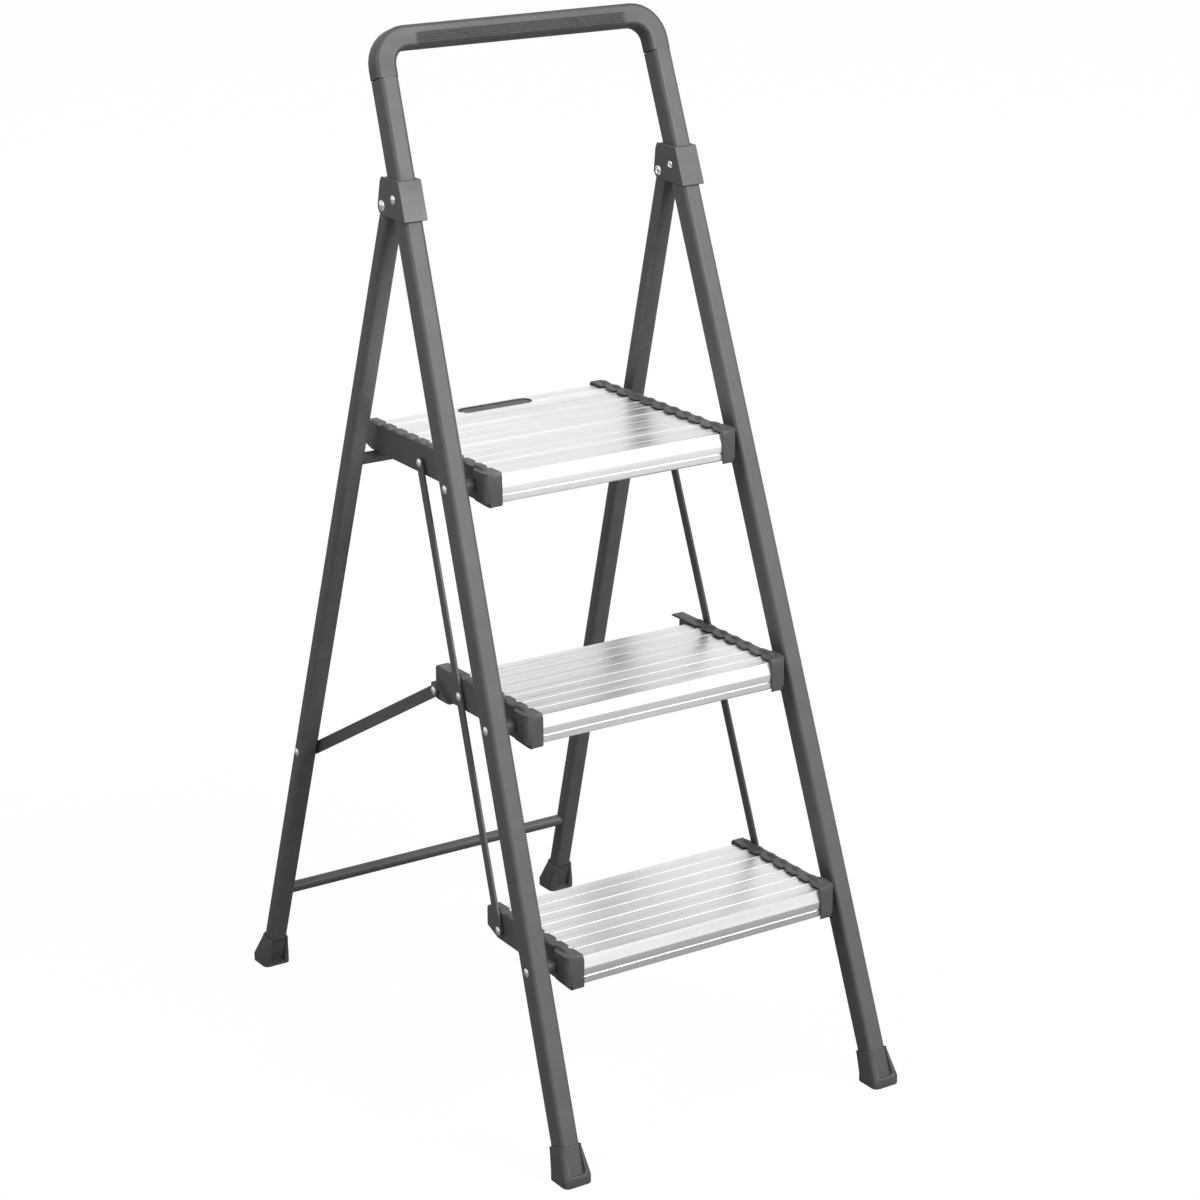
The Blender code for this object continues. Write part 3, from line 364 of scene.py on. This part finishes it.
def zinc_plate():
    finish = Finish("zinc_plate", 0.2, metallic=1.0)
    peel = finish.group("orange_peel", Scale=900.0, Sparkle=0.5)
    dust = finish.group("dust", Amount=0.35, Patch=160.0)
    base = finish.mix(remap(finish.tree, peel["Tone"], 0.3, 0.8), (0.74, 0.75, 0.77), (0.90, 0.90, 0.91))
    finish.colour(finish.mix(dust["Mask"], base, (0.45, 0.44, 0.42)))
    finish.roughness(remap(finish.tree, peel["Tone"], 0.3, 0.9, 0.12, 0.28))
    finish.bump(peel["Height"], 0.12, 0.05 * MM)
    return finish.material


PAINT = powder_coat()
PLASTIC = plastic("grey_plastic", 0.058, 0.064)
RAIL_PLASTIC = plastic("rail_plastic", 0.044, 0.048, 1300.0, 0.5)
FOOT_PLASTIC = plastic("foot_plastic", 0.050, 0.057, 1100.0, 0.55)
ALUMINIUM = brushed_aluminium()
ZINC = zinc_plate()


# Pieces.

BODY_OF = {node: body for body, nodes in frame["record"]["behaviour"]["bodies"].items() for node in nodes}


def new_object(name, data):
    obj = bpy.data.objects.new(name, data)
    bpy.context.scene.collection.objects.link(obj)
    return obj


def from_bmesh(name, shape):
    mesh = bpy.data.meshes.new(name)
    shape.to_mesh(mesh)
    shape.free()
    return new_object(name, mesh)


def welded(node, name):
    """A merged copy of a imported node, with its flat faces joined up again."""
    shape = bmesh.new()
    shape.from_mesh(frame["nodes"][node].data)
    bmesh.ops.remove_doubles(shape, verts=shape.verts, dist=0.005 * MM)
    bmesh.ops.dissolve_limit(shape, angle_limit=math.radians(0.6), verts=shape.verts, edges=shape.edges)
    return from_bmesh(name, shape)


def applied(obj):
    """Bakes an object's modifiers and place into its mesh, and returns the same object."""
    bpy.context.view_layer.update()
    graph = bpy.context.evaluated_depsgraph_get()
    mesh = bpy.data.meshes.new_from_object(obj.evaluated_get(graph))
    mesh.transform(obj.matrix_world)
    obj.modifiers.clear()
    old = obj.data
    obj.data = mesh
    if old.users == 0:
        bpy.data.meshes.remove(old)
    obj.matrix_world = Matrix.Identity(4)
    return obj


def bevelled(obj, width, segments=2, angle=SHARP, clamp=True):
    bevel = obj.modifiers.new("edges", "BEVEL")
    bevel.width = width
    bevel.segments = segments
    bevel.limit_method = "ANGLE"
    bevel.angle_limit = angle
    bevel.use_clamp_overlap = clamp
    return obj


def prism(name, outlines):
    """A closed solid between two outlines, each a list of the same number of points."""
    shape = bmesh.new()
    rings = [[shape.verts.new(point) for point in outline] for outline in outlines]
    for i in range(len(rings[0])):
        j = (i + 1) % len(rings[0])
        shape.faces.new((rings[0][i], rings[0][j], rings[1][j], rings[1][i]))
    shape.faces.new(reversed(rings[0]))
    shape.faces.new(rings[1])
    bmesh.ops.recalc_face_normals(shape, faces=shape.faces)
    return from_bmesh(name, shape)


def cut_out(obj, cutter):
    """Takes the cutter out of an object, and removes the cutter."""
    cut = obj.modifiers.new("cut", "BOOLEAN")
    cut.object = cutter
    cut.operation = "DIFFERENCE"
    cut.solver = "EXACT"
    applied(obj)
    bpy.data.objects.remove(cutter)
    return obj


def cleaned(obj):
    """Collapses the slivers that easing leaves where edges crowd together."""
    shape = bmesh.new()
    shape.from_mesh(obj.data)
    bmesh.ops.remove_doubles(shape, verts=shape.verts, dist=0.03 * MM)
    bmesh.ops.dissolve_degenerate(shape, dist=0.005 * MM, edges=shape.edges)
    shape.to_mesh(obj.data)
    shape.free()
    return obj


def finished(obj, material, body, *nodes):
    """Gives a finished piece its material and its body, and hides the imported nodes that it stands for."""
    obj.data.materials.clear()
    obj.data.materials.append(material)
    obj.data.shade_smooth()
    obj.data.set_sharp_from_angle(angle=SHARP)
    flats = obj.modifiers.new("flat_faces", "WEIGHTED_NORMAL")
    flats.keep_sharp = True
    flats.weight = 80
    applied(obj)
    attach(obj, body)
    if nodes:
        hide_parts(*nodes)
    return obj


def refined(node, material, width, segments=2, angle=SHARP, clamp=True):
    """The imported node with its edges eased."""
    obj = bevelled(welded(node, node + "_look"), width, segments, angle, clamp)
    return finished(cleaned(applied(obj)), material, BODY_OF[node], node)


def leg_place(side, kind, across, behind, reach):
    """A point given in a leg's own directions, from where its line meets the floor."""
    along = Vector((-side * LEG_TAPER, math.tan(LEAN[kind]), 1)).normalized()
    x = Vector((1, 0, 0))
    x = (x - x.dot(along) * along).normalized()
    low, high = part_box(f"{kind}_foot_{'left' if side < 0 else 'right'}")
    toe = low.y + GROUND_FROM_TOE if kind == "front" else high.y - GROUND_FROM_TOE
    ground = Vector((side * (max(-low.x, high.x) - GROUND_FROM_SIDE), toe, 0))
    return ground + x * across + along.cross(x) * behind + along * reach


def boot(kind, side_name):
    """A boot with a recess cut in its front, open at the top, that the tube's face shows through."""
    node = f"{kind}_foot_{side_name}"
    obj = welded(node, node + "_look")
    face = TUBE_DEPTH[kind] / 2 + RECESS_FROM_TUBE
    half = [(RECESS_HALF_WIDTH - RECESS_CORNER, RECESS_FOOT),
            (RECESS_HALF_WIDTH - RECESS_CORNER / 3, RECESS_FOOT + RECESS_CORNER / 3),
            (RECESS_HALF_WIDTH, RECESS_FOOT + RECESS_CORNER + 0.2 * MM), (RECESS_HALF_WIDTH, BEYOND_BOOT)]
    outline = [(-x, reach) for x, reach in reversed(half)] + half
    cutter = prism("boot_recess", [[leg_place(SIDES[side_name], kind, x, -y, reach) for x, reach in outline]
                                   for y in (face, face + BEYOND_TOE)])
    bevelled(cut_out(obj, cutter), 0.7 * MM, 3, math.radians(30), clamp=False)
    return finished(cleaned(applied(obj)), FOOT_PLASTIC, BODY_OF[node], node)


# Treads.

def bump_points(centre, width, height, steps=6):
    """A smooth rounded ridge across the profile."""
    points = []
    for i in range(steps + 1):
        t = i / steps
        points.append((centre + width * (t - 0.5), height * math.sin(math.pi * t) ** 0.8))
    return points


def tread_profile(depth):
    """Section of a tread from the nose backwards over the top, and back underneath."""
    ridges = round(depth / RIDGE_PITCH)
    pitch = depth / ridges
    points = [(NOSE_SLANT - 0.5 * MM, -0.45 * MM), (NOSE_SLANT + 0.5 * MM, 0)]
    for i in range(ridges):
        y = pitch * i
        if i:
            points += bump_points(y, RIDGE_WIDTH, RIDGE_HEIGHT)
        if y + COMPANION_BEHIND < depth - 2 * PLATE:
            line = y + COMPANION_BEHIND
            points += [(line - 0.5 * MM, 0), (line - 0.15 * MM, -0.25 * MM), (line + 0.15 * MM, -0.25 * MM),
                       (line + 0.5 * MM, 0)]
    points += [(depth - PLATE, 0), (depth - 0.6 * PLATE, -0.2 * PLATE), (depth - 0.1 * PLATE, -0.6 * PLATE),
               (depth, -PLATE), (depth, -REAR_LIP_HEIGHT), (depth - PLATE, -REAR_LIP_HEIGHT),
               (depth - PLATE, -PLATE), (NOSE_SLANT + LIP_WALL, -PLATE), (LIP_WALL, -NOSE_FALL),
               (LIP_WALL, -LIP_HEIGHT), (LIP_EASE, -LIP_HEIGHT)]
    groove = -GROOVE_DROP
    points += [(0, -LIP_HEIGHT + LIP_EASE), (0, groove - GROOVE), (GROOVE, groove - 0.6 * GROOVE),
               (GROOVE, groove + 0.4 * GROOVE), (0, groove + 0.7 * GROOVE), (0, -NOSE_FALL - 0.4 * MM),
               (0.25 * MM, -NOSE_FALL + 0.6 * MM)]
    return points


def stadium(name, centre, straight, radius, low, high, steps=16):
    """A slot-shaped prism: two half circles joined by straights along X."""
    outline = []
    for start, side in ((-90, 1), (90, -1)):
        for i in range(steps + 1):
            angle = math.radians(start + 180 * i / steps)
            outline.append((centre.x + side * straight + radius * math.cos(angle),
                            centre.y + radius * math.sin(angle)))
    return prism(name, [[(x, y, z) for x, y in outline] for z in (low, high)])


def tread(step):
    node = f"{step}_tread"
    low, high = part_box(node)
    top = high.z - RIDGE_ROOM
    outline = [(low.y + y, top + z) for y, z in tread_profile(high.y - low.y)]
    plank = prism(f"{step}_tread_look", [[(x, y, z) for y, z in outline] for x in (low.x, high.x)])
    if step == "top":
        insert_low, insert_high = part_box("finger_slot_trim")
        radius = (insert_high.y - insert_low.y) / 2 + SLOT_ROOM
        straight = (insert_high.x - insert_low.x) / 2 - radius
        centre = (insert_low + insert_high) / 2
        cut_out(plank, stadium("slot_hole", centre, straight, radius, centre.z - SLOT_CUT, centre.z + SLOT_CUT))
    return finished(plank, ALUMINIUM, BODY_OF[node], node)


# Geometry Nodes.

def new_tree(name, inputs):
    """A Geometry Nodes tree with named inputs, given as {label: (socket type, value)}."""
    tree = bpy.data.node_groups.new(name, "GeometryNodeTree")
    tree.interface.new_socket("Geometry", in_out="INPUT", socket_type="NodeSocketGeometry")
    tree.interface.new_socket("Geometry", in_out="OUTPUT", socket_type="NodeSocketGeometry")
    for label, (kind, value) in inputs.items():
        socket = tree.interface.new_socket(label, in_out="INPUT", socket_type=kind)
        if value is not None:
            socket.default_value = value
    return tree, tree.nodes.new("NodeGroupInput"), tree.nodes.new("NodeGroupOutput")


def grown(name, mesh, tree, values):
    """The mesh that a tree makes from a seed mesh with these input values."""
    obj = new_object(name, mesh)
    modifier = obj.modifiers.new("grow", "NODES")
    modifier.node_group = tree
    labels = {item.name: item.identifier for item in tree.interface.items_tree if item.in_out == "INPUT"}
    for label, value in values.items():
        modifier[labels[label]] = value
    return applied(obj)


def painted(tree, socket, start, end):
    """Ends a tree: realizes its instances and sets the material that its Finish input names."""
    real = add(tree, "GeometryNodeRealizeInstances")
    tree.links.new(socket, real.inputs["Geometry"])
    coat = add(tree, "GeometryNodeSetMaterial")
    tree.links.new(real.outputs["Geometry"], coat.inputs["Geometry"])
    tree.links.new(start.outputs["Finish"], coat.inputs["Material"])
    tree.links.new(coat.outputs["Geometry"], end.inputs["Geometry"])
    return tree


def rivet_tree():
    """A riveted pin for each edge of the seed mesh, from its tail to its domed head."""
    tree, start, end = new_tree("riveted_pins", {
        "Head": ("NodeSocketObject", None), "Tail": ("NodeSocketObject", None),
        "Head radius": ("NodeSocketFloat", PIN[0]), "Shank radius": ("NodeSocketFloat", PIN[1]),
        "Finish": ("NodeSocketMaterial", None)})
    link = tree.links.new
    curve = add(tree, "GeometryNodeMeshToCurve")
    link(start.outputs["Geometry"], curve.inputs["Mesh"])
    ring = add(tree, "GeometryNodeCurvePrimitiveCircle")
    ring.inputs["Resolution"].default_value = 24
    link(start.outputs["Shank radius"], ring.inputs["Radius"])
    shank = add(tree, "GeometryNodeCurveToMesh")
    link(curve.outputs["Curve"], shank.inputs["Curve"])
    link(ring.outputs["Curve"], shank.inputs["Profile Curve"])
    shank.inputs["Fill Caps"].default_value = True
    joined = add(tree, "GeometryNodeJoinGeometry")
    link(shank.outputs["Mesh"], joined.inputs["Geometry"])
    tangent = add(tree, "GeometryNodeInputTangent")
    turn = add(tree, "FunctionNodeAlignRotationToVector", axis="Z")
    link(tangent.outputs["Tangent"], turn.inputs["Vector"])
    for label, at_start in (("Head", False), ("Tail", True)):
        chosen = add(tree, "GeometryNodeCurveEndpointSelection")
        chosen.inputs["Start Size"].default_value = int(at_start)
        chosen.inputs["End Size"].default_value = int(not at_start)
        shape = add(tree, "GeometryNodeObjectInfo")
        link(start.outputs[label], shape.inputs["Object"])
        placed = add(tree, "GeometryNodeInstanceOnPoints")
        link(curve.outputs["Curve"], placed.inputs["Points"])
        link(chosen.outputs["Selection"], placed.inputs["Selection"])
        link(shape.outputs["Geometry"], placed.inputs["Instance"])
        link(turn.outputs["Rotation"], placed.inputs["Rotation"])
        link(start.outputs["Head radius"], placed.inputs["Scale"])
        link(placed.outputs["Instances"], joined.inputs["Geometry"])
    return painted(tree, joined.outputs["Geometry"], start, end)


def turned(name, profile, steps=28):
    """A closed shape turned round Z from (radius, height) points that start and end on the axis."""
    shape = bmesh.new()
    rings = []
    for radius, height in profile:
        if radius == 0:
            rings.append([shape.verts.new((0, 0, height))])
            continue
        angles = [2 * math.pi * i / steps for i in range(steps)]
        rings.append([shape.verts.new((radius * math.cos(a), radius * math.sin(a), height)) for a in angles])
    for first, second in zip(rings, rings[1:]):
        for i in range(steps):
            j = (i + 1) % steps
            corners = [first[i % len(first)], first[j % len(first)], second[j % len(second)], second[i % len(second)]]
            corners = list(dict.fromkeys(corners))
            if len(corners) > 2:
                shape.faces.new(corners)
    bmesh.ops.recalc_face_normals(shape, faces=shape.faces)
    return from_bmesh(name, shape)


def rivets():
    """Every rivet, as one piece for each body and size."""
    # Heads and tails are turned to a radius of 1 and sized by the tree.
    dome = [(0, 0.40), (0.22, 0.39), (0.45, 0.345), (0.66, 0.26), (0.82, 0.17), (0.93, 0.09), (1.0, 0.05),
            (1.0, 0.0), (0.0, 0.0)]
    tail = [(0, -0.02), (0.30, -0.04), (0.38, -0.17), (0.50, -0.24), (0.66, -0.23), (0.80, -0.14),
            (0.86, -0.03), (0.86, 0.0), (0, 0)]
    shapes = {"Head": turned("rivet_head", dome), "Tail": turned("rivet_tail", tail)}
    tree = rivet_tree()
    by_body = {}
    for node in frame["nodes"]:
        if "rivet" in node:
            by_body.setdefault((BODY_OF[node], "hinge" in node), []).append(node)
    for (body, hinge), nodes in sorted(by_body.items()):
        head, shank = HINGE_PIN if hinge else PIN
        points = []
        for node in nodes:
            low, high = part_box(node)
            y, z = (low.y + high.y) / 2, (low.z + high.z) / 2
            outward = 1 if high.x > 0 else -1
            outer, inner = (high.x, low.x) if outward > 0 else (low.x, high.x)
            points += [(inner + outward * TAIL_DEPTH * head, y, z), (outer - outward * HEAD_DEPTH * head, y, z)]
        seed = bpy.data.meshes.new("pins")
        seed.from_pydata(points, [(i, i + 1) for i in range(0, len(points), 2)], [])
        values = {"Head radius": head, "Shank radius": shank, "Finish": ZINC, **shapes}
        name = f"{body}_{'hinge_' if hinge else ''}rivets_look"
        finished(grown(name, seed, tree, values), ZINC, body, *nodes)
    for shape in shapes.values():
        bpy.data.objects.remove(shape)


def rib_tree():
    """A rounded rib swept along each line of the seed mesh."""
    tree, start, end = new_tree("rounded_ribs", {
        "Width": ("NodeSocketFloat", 1.0 * MM), "Height": ("NodeSocketFloat", 0.5 * MM),
        "Finish": ("NodeSocketMaterial", None)})
    link = tree.links.new
    curve = add(tree, "GeometryNodeMeshToCurve")
    link(start.outputs["Geometry"], curve.inputs["Mesh"])
    ring = add(tree, "GeometryNodeCurvePrimitiveCircle")
    ring.inputs["Resolution"].default_value = 12
    ring.inputs["Radius"].default_value = 1.0
    squeezed = add(tree, "GeometryNodeTransform")
    size = add(tree, "ShaderNodeCombineXYZ")
    link(start.outputs["Width"], size.inputs["X"])
    link(start.outputs["Height"], size.inputs["Y"])
    size.inputs["Z"].default_value = 1.0
    link(ring.outputs["Curve"], squeezed.inputs["Geometry"])
    link(size.outputs["Vector"], squeezed.inputs["Scale"])
    rib = add(tree, "GeometryNodeCurveToMesh")
    link(curve.outputs["Curve"], rib.inputs["Curve"])
    link(squeezed.outputs["Geometry"], rib.inputs["Profile Curve"])
    rib.inputs["Fill Caps"].default_value = True
    return painted(tree, rib.outputs["Mesh"], start, end)


def ribs(name, lines, width, height, material, body):
    """Ribs along lines, each a list of points."""
    points, edges = [], []
    for line in lines:
        edges += [(len(points) + i, len(points) + i + 1) for i in range(len(line) - 1)]
        points += line
    seed = bpy.data.meshes.new(name)
    seed.from_pydata(points, edges, [])
    values = {"Width": width / 2, "Height": height / 2, "Finish": material}
    return finished(grown(name, seed, RIBS, values), material, body)


def pad_tree():
    """A low rounded pad on each point of the seed mesh."""
    tree, start, end = new_tree("rounded_pads", {
        "Length": ("NodeSocketFloat", 15 * MM), "Width": ("NodeSocketFloat", 10 * MM),
        "Height": ("NodeSocketFloat", 2 * MM), "Finish": ("NodeSocketMaterial", None)})
    link = tree.links.new
    ball = add(tree, "GeometryNodeMeshUVSphere")
    ball.inputs["Segments"].default_value = 20
    ball.inputs["Rings"].default_value = 10
    ball.inputs["Radius"].default_value = 0.5
    size = add(tree, "ShaderNodeCombineXYZ")
    link(start.outputs["Width"], size.inputs["X"])
    link(start.outputs["Length"], size.inputs["Y"])
    link(start.outputs["Height"], size.inputs["Z"])
    placed = add(tree, "GeometryNodeInstanceOnPoints")
    link(start.outputs["Geometry"], placed.inputs["Points"])
    link(ball.outputs["Mesh"], placed.inputs["Instance"])
    link(size.outputs["Vector"], placed.inputs["Scale"])
    return painted(tree, placed.outputs["Instances"], start, end)


def pads(name, points, size, material, body):
    """A pad on each point, of a (length, width, height)."""
    seed = bpy.data.meshes.new(name)
    seed.from_pydata(points, [], [])
    values = {**dict(zip(("Length", "Width", "Height"), size)), "Finish": material}
    return finished(grown(name, seed, PADS, values), material, body)


RIBS = rib_tree()
PADS = pad_tree()


# Small details.

def cap_pads(step):
    """The raised pads along the two caps of a step: a long shoulder, then one between each pair of ridges."""
    low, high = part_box(f"{step}_tread")
    ridges = round((high.y - low.y) / RIDGE_PITCH)
    pitch = (high.y - low.y) / ridges
    small, large = [], []
    for side_name, side in SIDES.items():
        cap_low, cap_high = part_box(f"{step}_cap_{side_name}")
        x = side * (min(abs(cap_low.x), abs(cap_high.x)) + PAD_FROM_TREAD)
        z = cap_high.z - PAD_SINK
        small += [(x, low.y + pitch * (i + 0.5), z) for i in range(2, ridges)]
        large.append((x, low.y + 1.05 * pitch, z))
    pads(f"{step}_cap_humps", small, PAD, PLASTIC, f"{step}_step")
    pads(f"{step}_cap_shoulders", large, SHOULDER, PLASTIC, f"{step}_step")


def grip_lines():
    """Fine moulded lines along the front of the hand rail."""
    low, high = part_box("hand_rail")
    half_depth = TUBE_DEPTH["front"] / 2
    lean = LEAN["front"]
    outer = (high.z - half_depth * math.sin(lean)) / math.cos(lean)
    foot = high.y - outer * math.sin(lean) - half_depth * math.cos(lean)
    lines = []
    for i in range(GRIP_LINES):
        reach = outer - GRIP_FIRST - GRIP_PITCH * i
        y = foot + reach * math.sin(lean) - half_depth * math.cos(lean)
        z = reach * math.cos(lean) + half_depth * math.sin(lean)
        lines.append([(-GRIP_HALF_LENGTH, y, z), (GRIP_HALF_LENGTH, y, z)])
    ribs("grip_lines", lines, GRIP_LINE, GRIP_LINE, RAIL_PLASTIC, "front_frame")


def slot_insert():
    """The ribbed floor of the finger slot."""
    low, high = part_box("finger_slot_trim")
    centre = (low + high) / 2
    radius = (high.y - low.y) / 2 - INSERT_WALL
    straight = (high.x - low.x) / 2 - INSERT_WALL - radius
    top = high.z - INSERT_FLOOR
    finished(stadium("slot_pad", centre, straight, radius, low.z + INSERT_FLOOR, top), PLASTIC, "top_step")
    lines = []
    for i in range(INSERT_RIBS):
        x = centre.x + (i - (INSERT_RIBS - 1) / 2) * 2 * straight / INSERT_RIBS
        reach = radius * 0.86
        lines.append([(x - reach, centre.y - reach, top), (x + reach, centre.y + reach, top)])
    ribs("slot_ribs", lines, *INSERT_RIB, PLASTIC, "top_step")


def rounded_loop(half_x, half_y, corner, steps=5):
    """Points round a rectangle with rounded corners."""
    points = []
    for cx, cy, start in ((1, 1, 0), (-1, 1, 90), (-1, -1, 180), (1, -1, 270)):
        for i in range(steps + 1):
            angle = math.radians(start + 90 * i / steps)
            points.append((cx * (half_x - corner) + corner * math.cos(angle),
                           cy * (half_y - corner) + corner * math.sin(angle)))
    return points


def boot_rim(kind, side_name):
    """A boot's rim, which runs round the back from one edge of the recess to the other."""
    loop = rounded_loop(TUBE_WIDTH / 2 + BOOT_WALL, TUBE_DEPTH[kind] / 2 + BOOT_WALL, RIM_CORNER)
    kept = [(x, y) for x, y in loop if abs(x) > RIM_GAP or y > 0]
    gap = max(range(len(kept)), key=lambda i: abs(kept[i][0] - kept[i - 1][0]) if kept[i][1] < 0 else 0)
    rim = [tuple(leg_place(SIDES[side_name], kind, x, y, RIM_REACH)) for x, y in kept[gap:] + kept[:gap]]
    ribs(f"{kind}_boot_rim_{side_name}", [rim], RIM_THICKNESS, RIM_THICKNESS, FOOT_PLASTIC, f"{kind}_frame")


# Build.

def build():
    for node in frame["nodes"]:
        if node.startswith(("front_leg", "rear_leg")):
            refined(node, PAINT, 0.5 * MM)
        elif "crossbar" in node:
            refined(node, PAINT, 0.3 * MM)
        elif node.startswith(("link_bar", "strut_left", "strut_right")):
            refined(node, PAINT, 0.45 * MM)
        elif node.startswith("strut_tail"):
            refined(node, ZINC, 0.2 * MM)
        elif "_foot_" in node and "rivet" not in node:
            boot(*node.split("_foot_"))
        elif node.startswith("hinge_bracket"):
            refined(node, PLASTIC, 1.0 * MM, 3, math.radians(30), clamp=False)
        elif "_cap_" in node:
            refined(node, PLASTIC, 0.25 * MM, 2, math.radians(50), clamp=False)
        elif "_spacer_" in node or node == "finger_slot_trim":
            refined(node, PLASTIC, 0.25 * MM)
        elif node == "hand_rail":
            refined(node, RAIL_PLASTIC, 0.5 * MM)
    for step in STEPS:
        tread(step)
        cap_pads(step)
    rivets()
    grip_lines()
    slot_insert()
    for side_name in SIDES:
        for kind in LEAN:
            boot_rim(kind, side_name)


build()


# Studio.

CAMERA_PLACE = (-1.8186, -2.7966, 1.6047)
CAMERA_TILT = math.radians(72.721)
CAMERA_TURN = math.radians(-33.75)
CAMERA_LENS = 98.51
CAMERA_SHIFT = -0.056
SOFTBOXES = {                    # place, size, power; each aims at the stool's middle
    "key_softbox": ((1.6, -4.6, 3.8), (3.2, 2.6), 380),
    "left_softbox": ((-3.4, -0.3, 3.4), (2.2, 2.2), 82),
    "top_softbox": ((0.0, 0.6, 4.2), (3.0, 3.0), 18)}
LIGHT_AIM = Vector((0, 0, 0.5))
SKY, SKY_SEEN, SKY_SOFT = 0.90, 0.10, -0.58
FLOOR_SIZE = 14
FLOOR_GLOW = 1.08
FLOOR_GLOW_SHARE = 0.90


def sky(scene):
    """An even white surround: a full one for reflections and the camera, a weaker one for soft light."""
    scene.world = bpy.data.worlds.new("studio")
    scene.world.use_nodes = True
    tree = scene.world.node_tree
    background = tree.nodes["Background"]
    background.inputs["Color"].default_value = (1, 1, 1, 1)
    rays = add(tree, "ShaderNodeLightPath")
    soft = maths(tree, "MULTIPLY", rays.outputs["Is Diffuse Ray"], SKY_SOFT)
    seen = maths(tree, "MULTIPLY", rays.outputs["Is Camera Ray"], SKY_SEEN)
    total = maths(tree, "ADD", maths(tree, "ADD", soft, seen), SKY)
    tree.links.new(total, background.inputs["Strength"])


def white_paper():
    paper = Finish("white_paper", 0.9, specular=0.1)
    tree = paper.tree
    # Painted shade: the paper is darker near the stool, so that the low noses mirror a deeper grey than the high
    # ones.
    away = add(tree, "ShaderNodeVectorMath", operation="LENGTH")
    tree.links.new(paper.place, away.inputs[0])
    spread = remap(tree, away.outputs["Value"], 0.7, 2.6)
    patchy = maths(tree, "MULTIPLY", noise(tree, paper.place, 3.0, 4.0), 0.04)
    paper.colour(paper.mix(maths(tree, "ADD", spread, patchy, clamp=True), (0.22, 0.22, 0.22), (0.45, 0.45, 0.45)))
    # The paper is lit from below as well, so it reads as plain white, with only a hint of shade at the feet.
    glow = add(tree, "ShaderNodeEmission")
    glow.inputs["Strength"].default_value = FLOOR_GLOW
    rays = add(tree, "ShaderNodeLightPath")
    blend = add(tree, "ShaderNodeMixShader")
    share = remap(tree, rays.outputs["Is Camera Ray"], 0.0, 1.0, 0.0, FLOOR_GLOW_SHARE)
    tree.links.new(share, blend.inputs["Fac"])
    tree.links.new(paper.shader.outputs["BSDF"], blend.inputs[1])
    tree.links.new(glow.outputs["Emission"], blend.inputs[2])
    tree.links.new(blend.outputs["Shader"], tree.nodes["Material Output"].inputs["Surface"])
    return paper.material


def studio():
    scene = bpy.context.scene
    scene.view_settings.view_transform = "Standard"
    sky(scene)

    shape = bmesh.new()
    bmesh.ops.create_grid(shape, x_segments=8, y_segments=8, size=FLOOR_SIZE)
    floor = from_bmesh("floor", shape)
    low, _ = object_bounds()
    floor.data.transform(Matrix.Translation((0, 0, low.z - 0.2 * MM)))
    floor.data.materials.append(white_paper())
    floor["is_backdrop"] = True

    for name, (place, size, power) in SOFTBOXES.items():
        light = bpy.data.lights.new(name, "AREA")
        light.shape = "RECTANGLE"
        light.size, light.size_y = size
        light.energy = power
        lamp = new_object(name, light)
        lamp.location = place
        lamp.rotation_euler = (LIGHT_AIM - Vector(place)).to_track_quat("-Z", "Y").to_euler()

    camera = bpy.data.cameras.new("camera")
    camera.lens = CAMERA_LENS
    camera.sensor_width = 36
    camera.shift_y = CAMERA_SHIFT
    holder = new_object("camera", camera)
    holder.location = CAMERA_PLACE
    holder.rotation_euler = (CAMERA_TILT, 0, CAMERA_TURN)
    scene.camera = holder


studio()
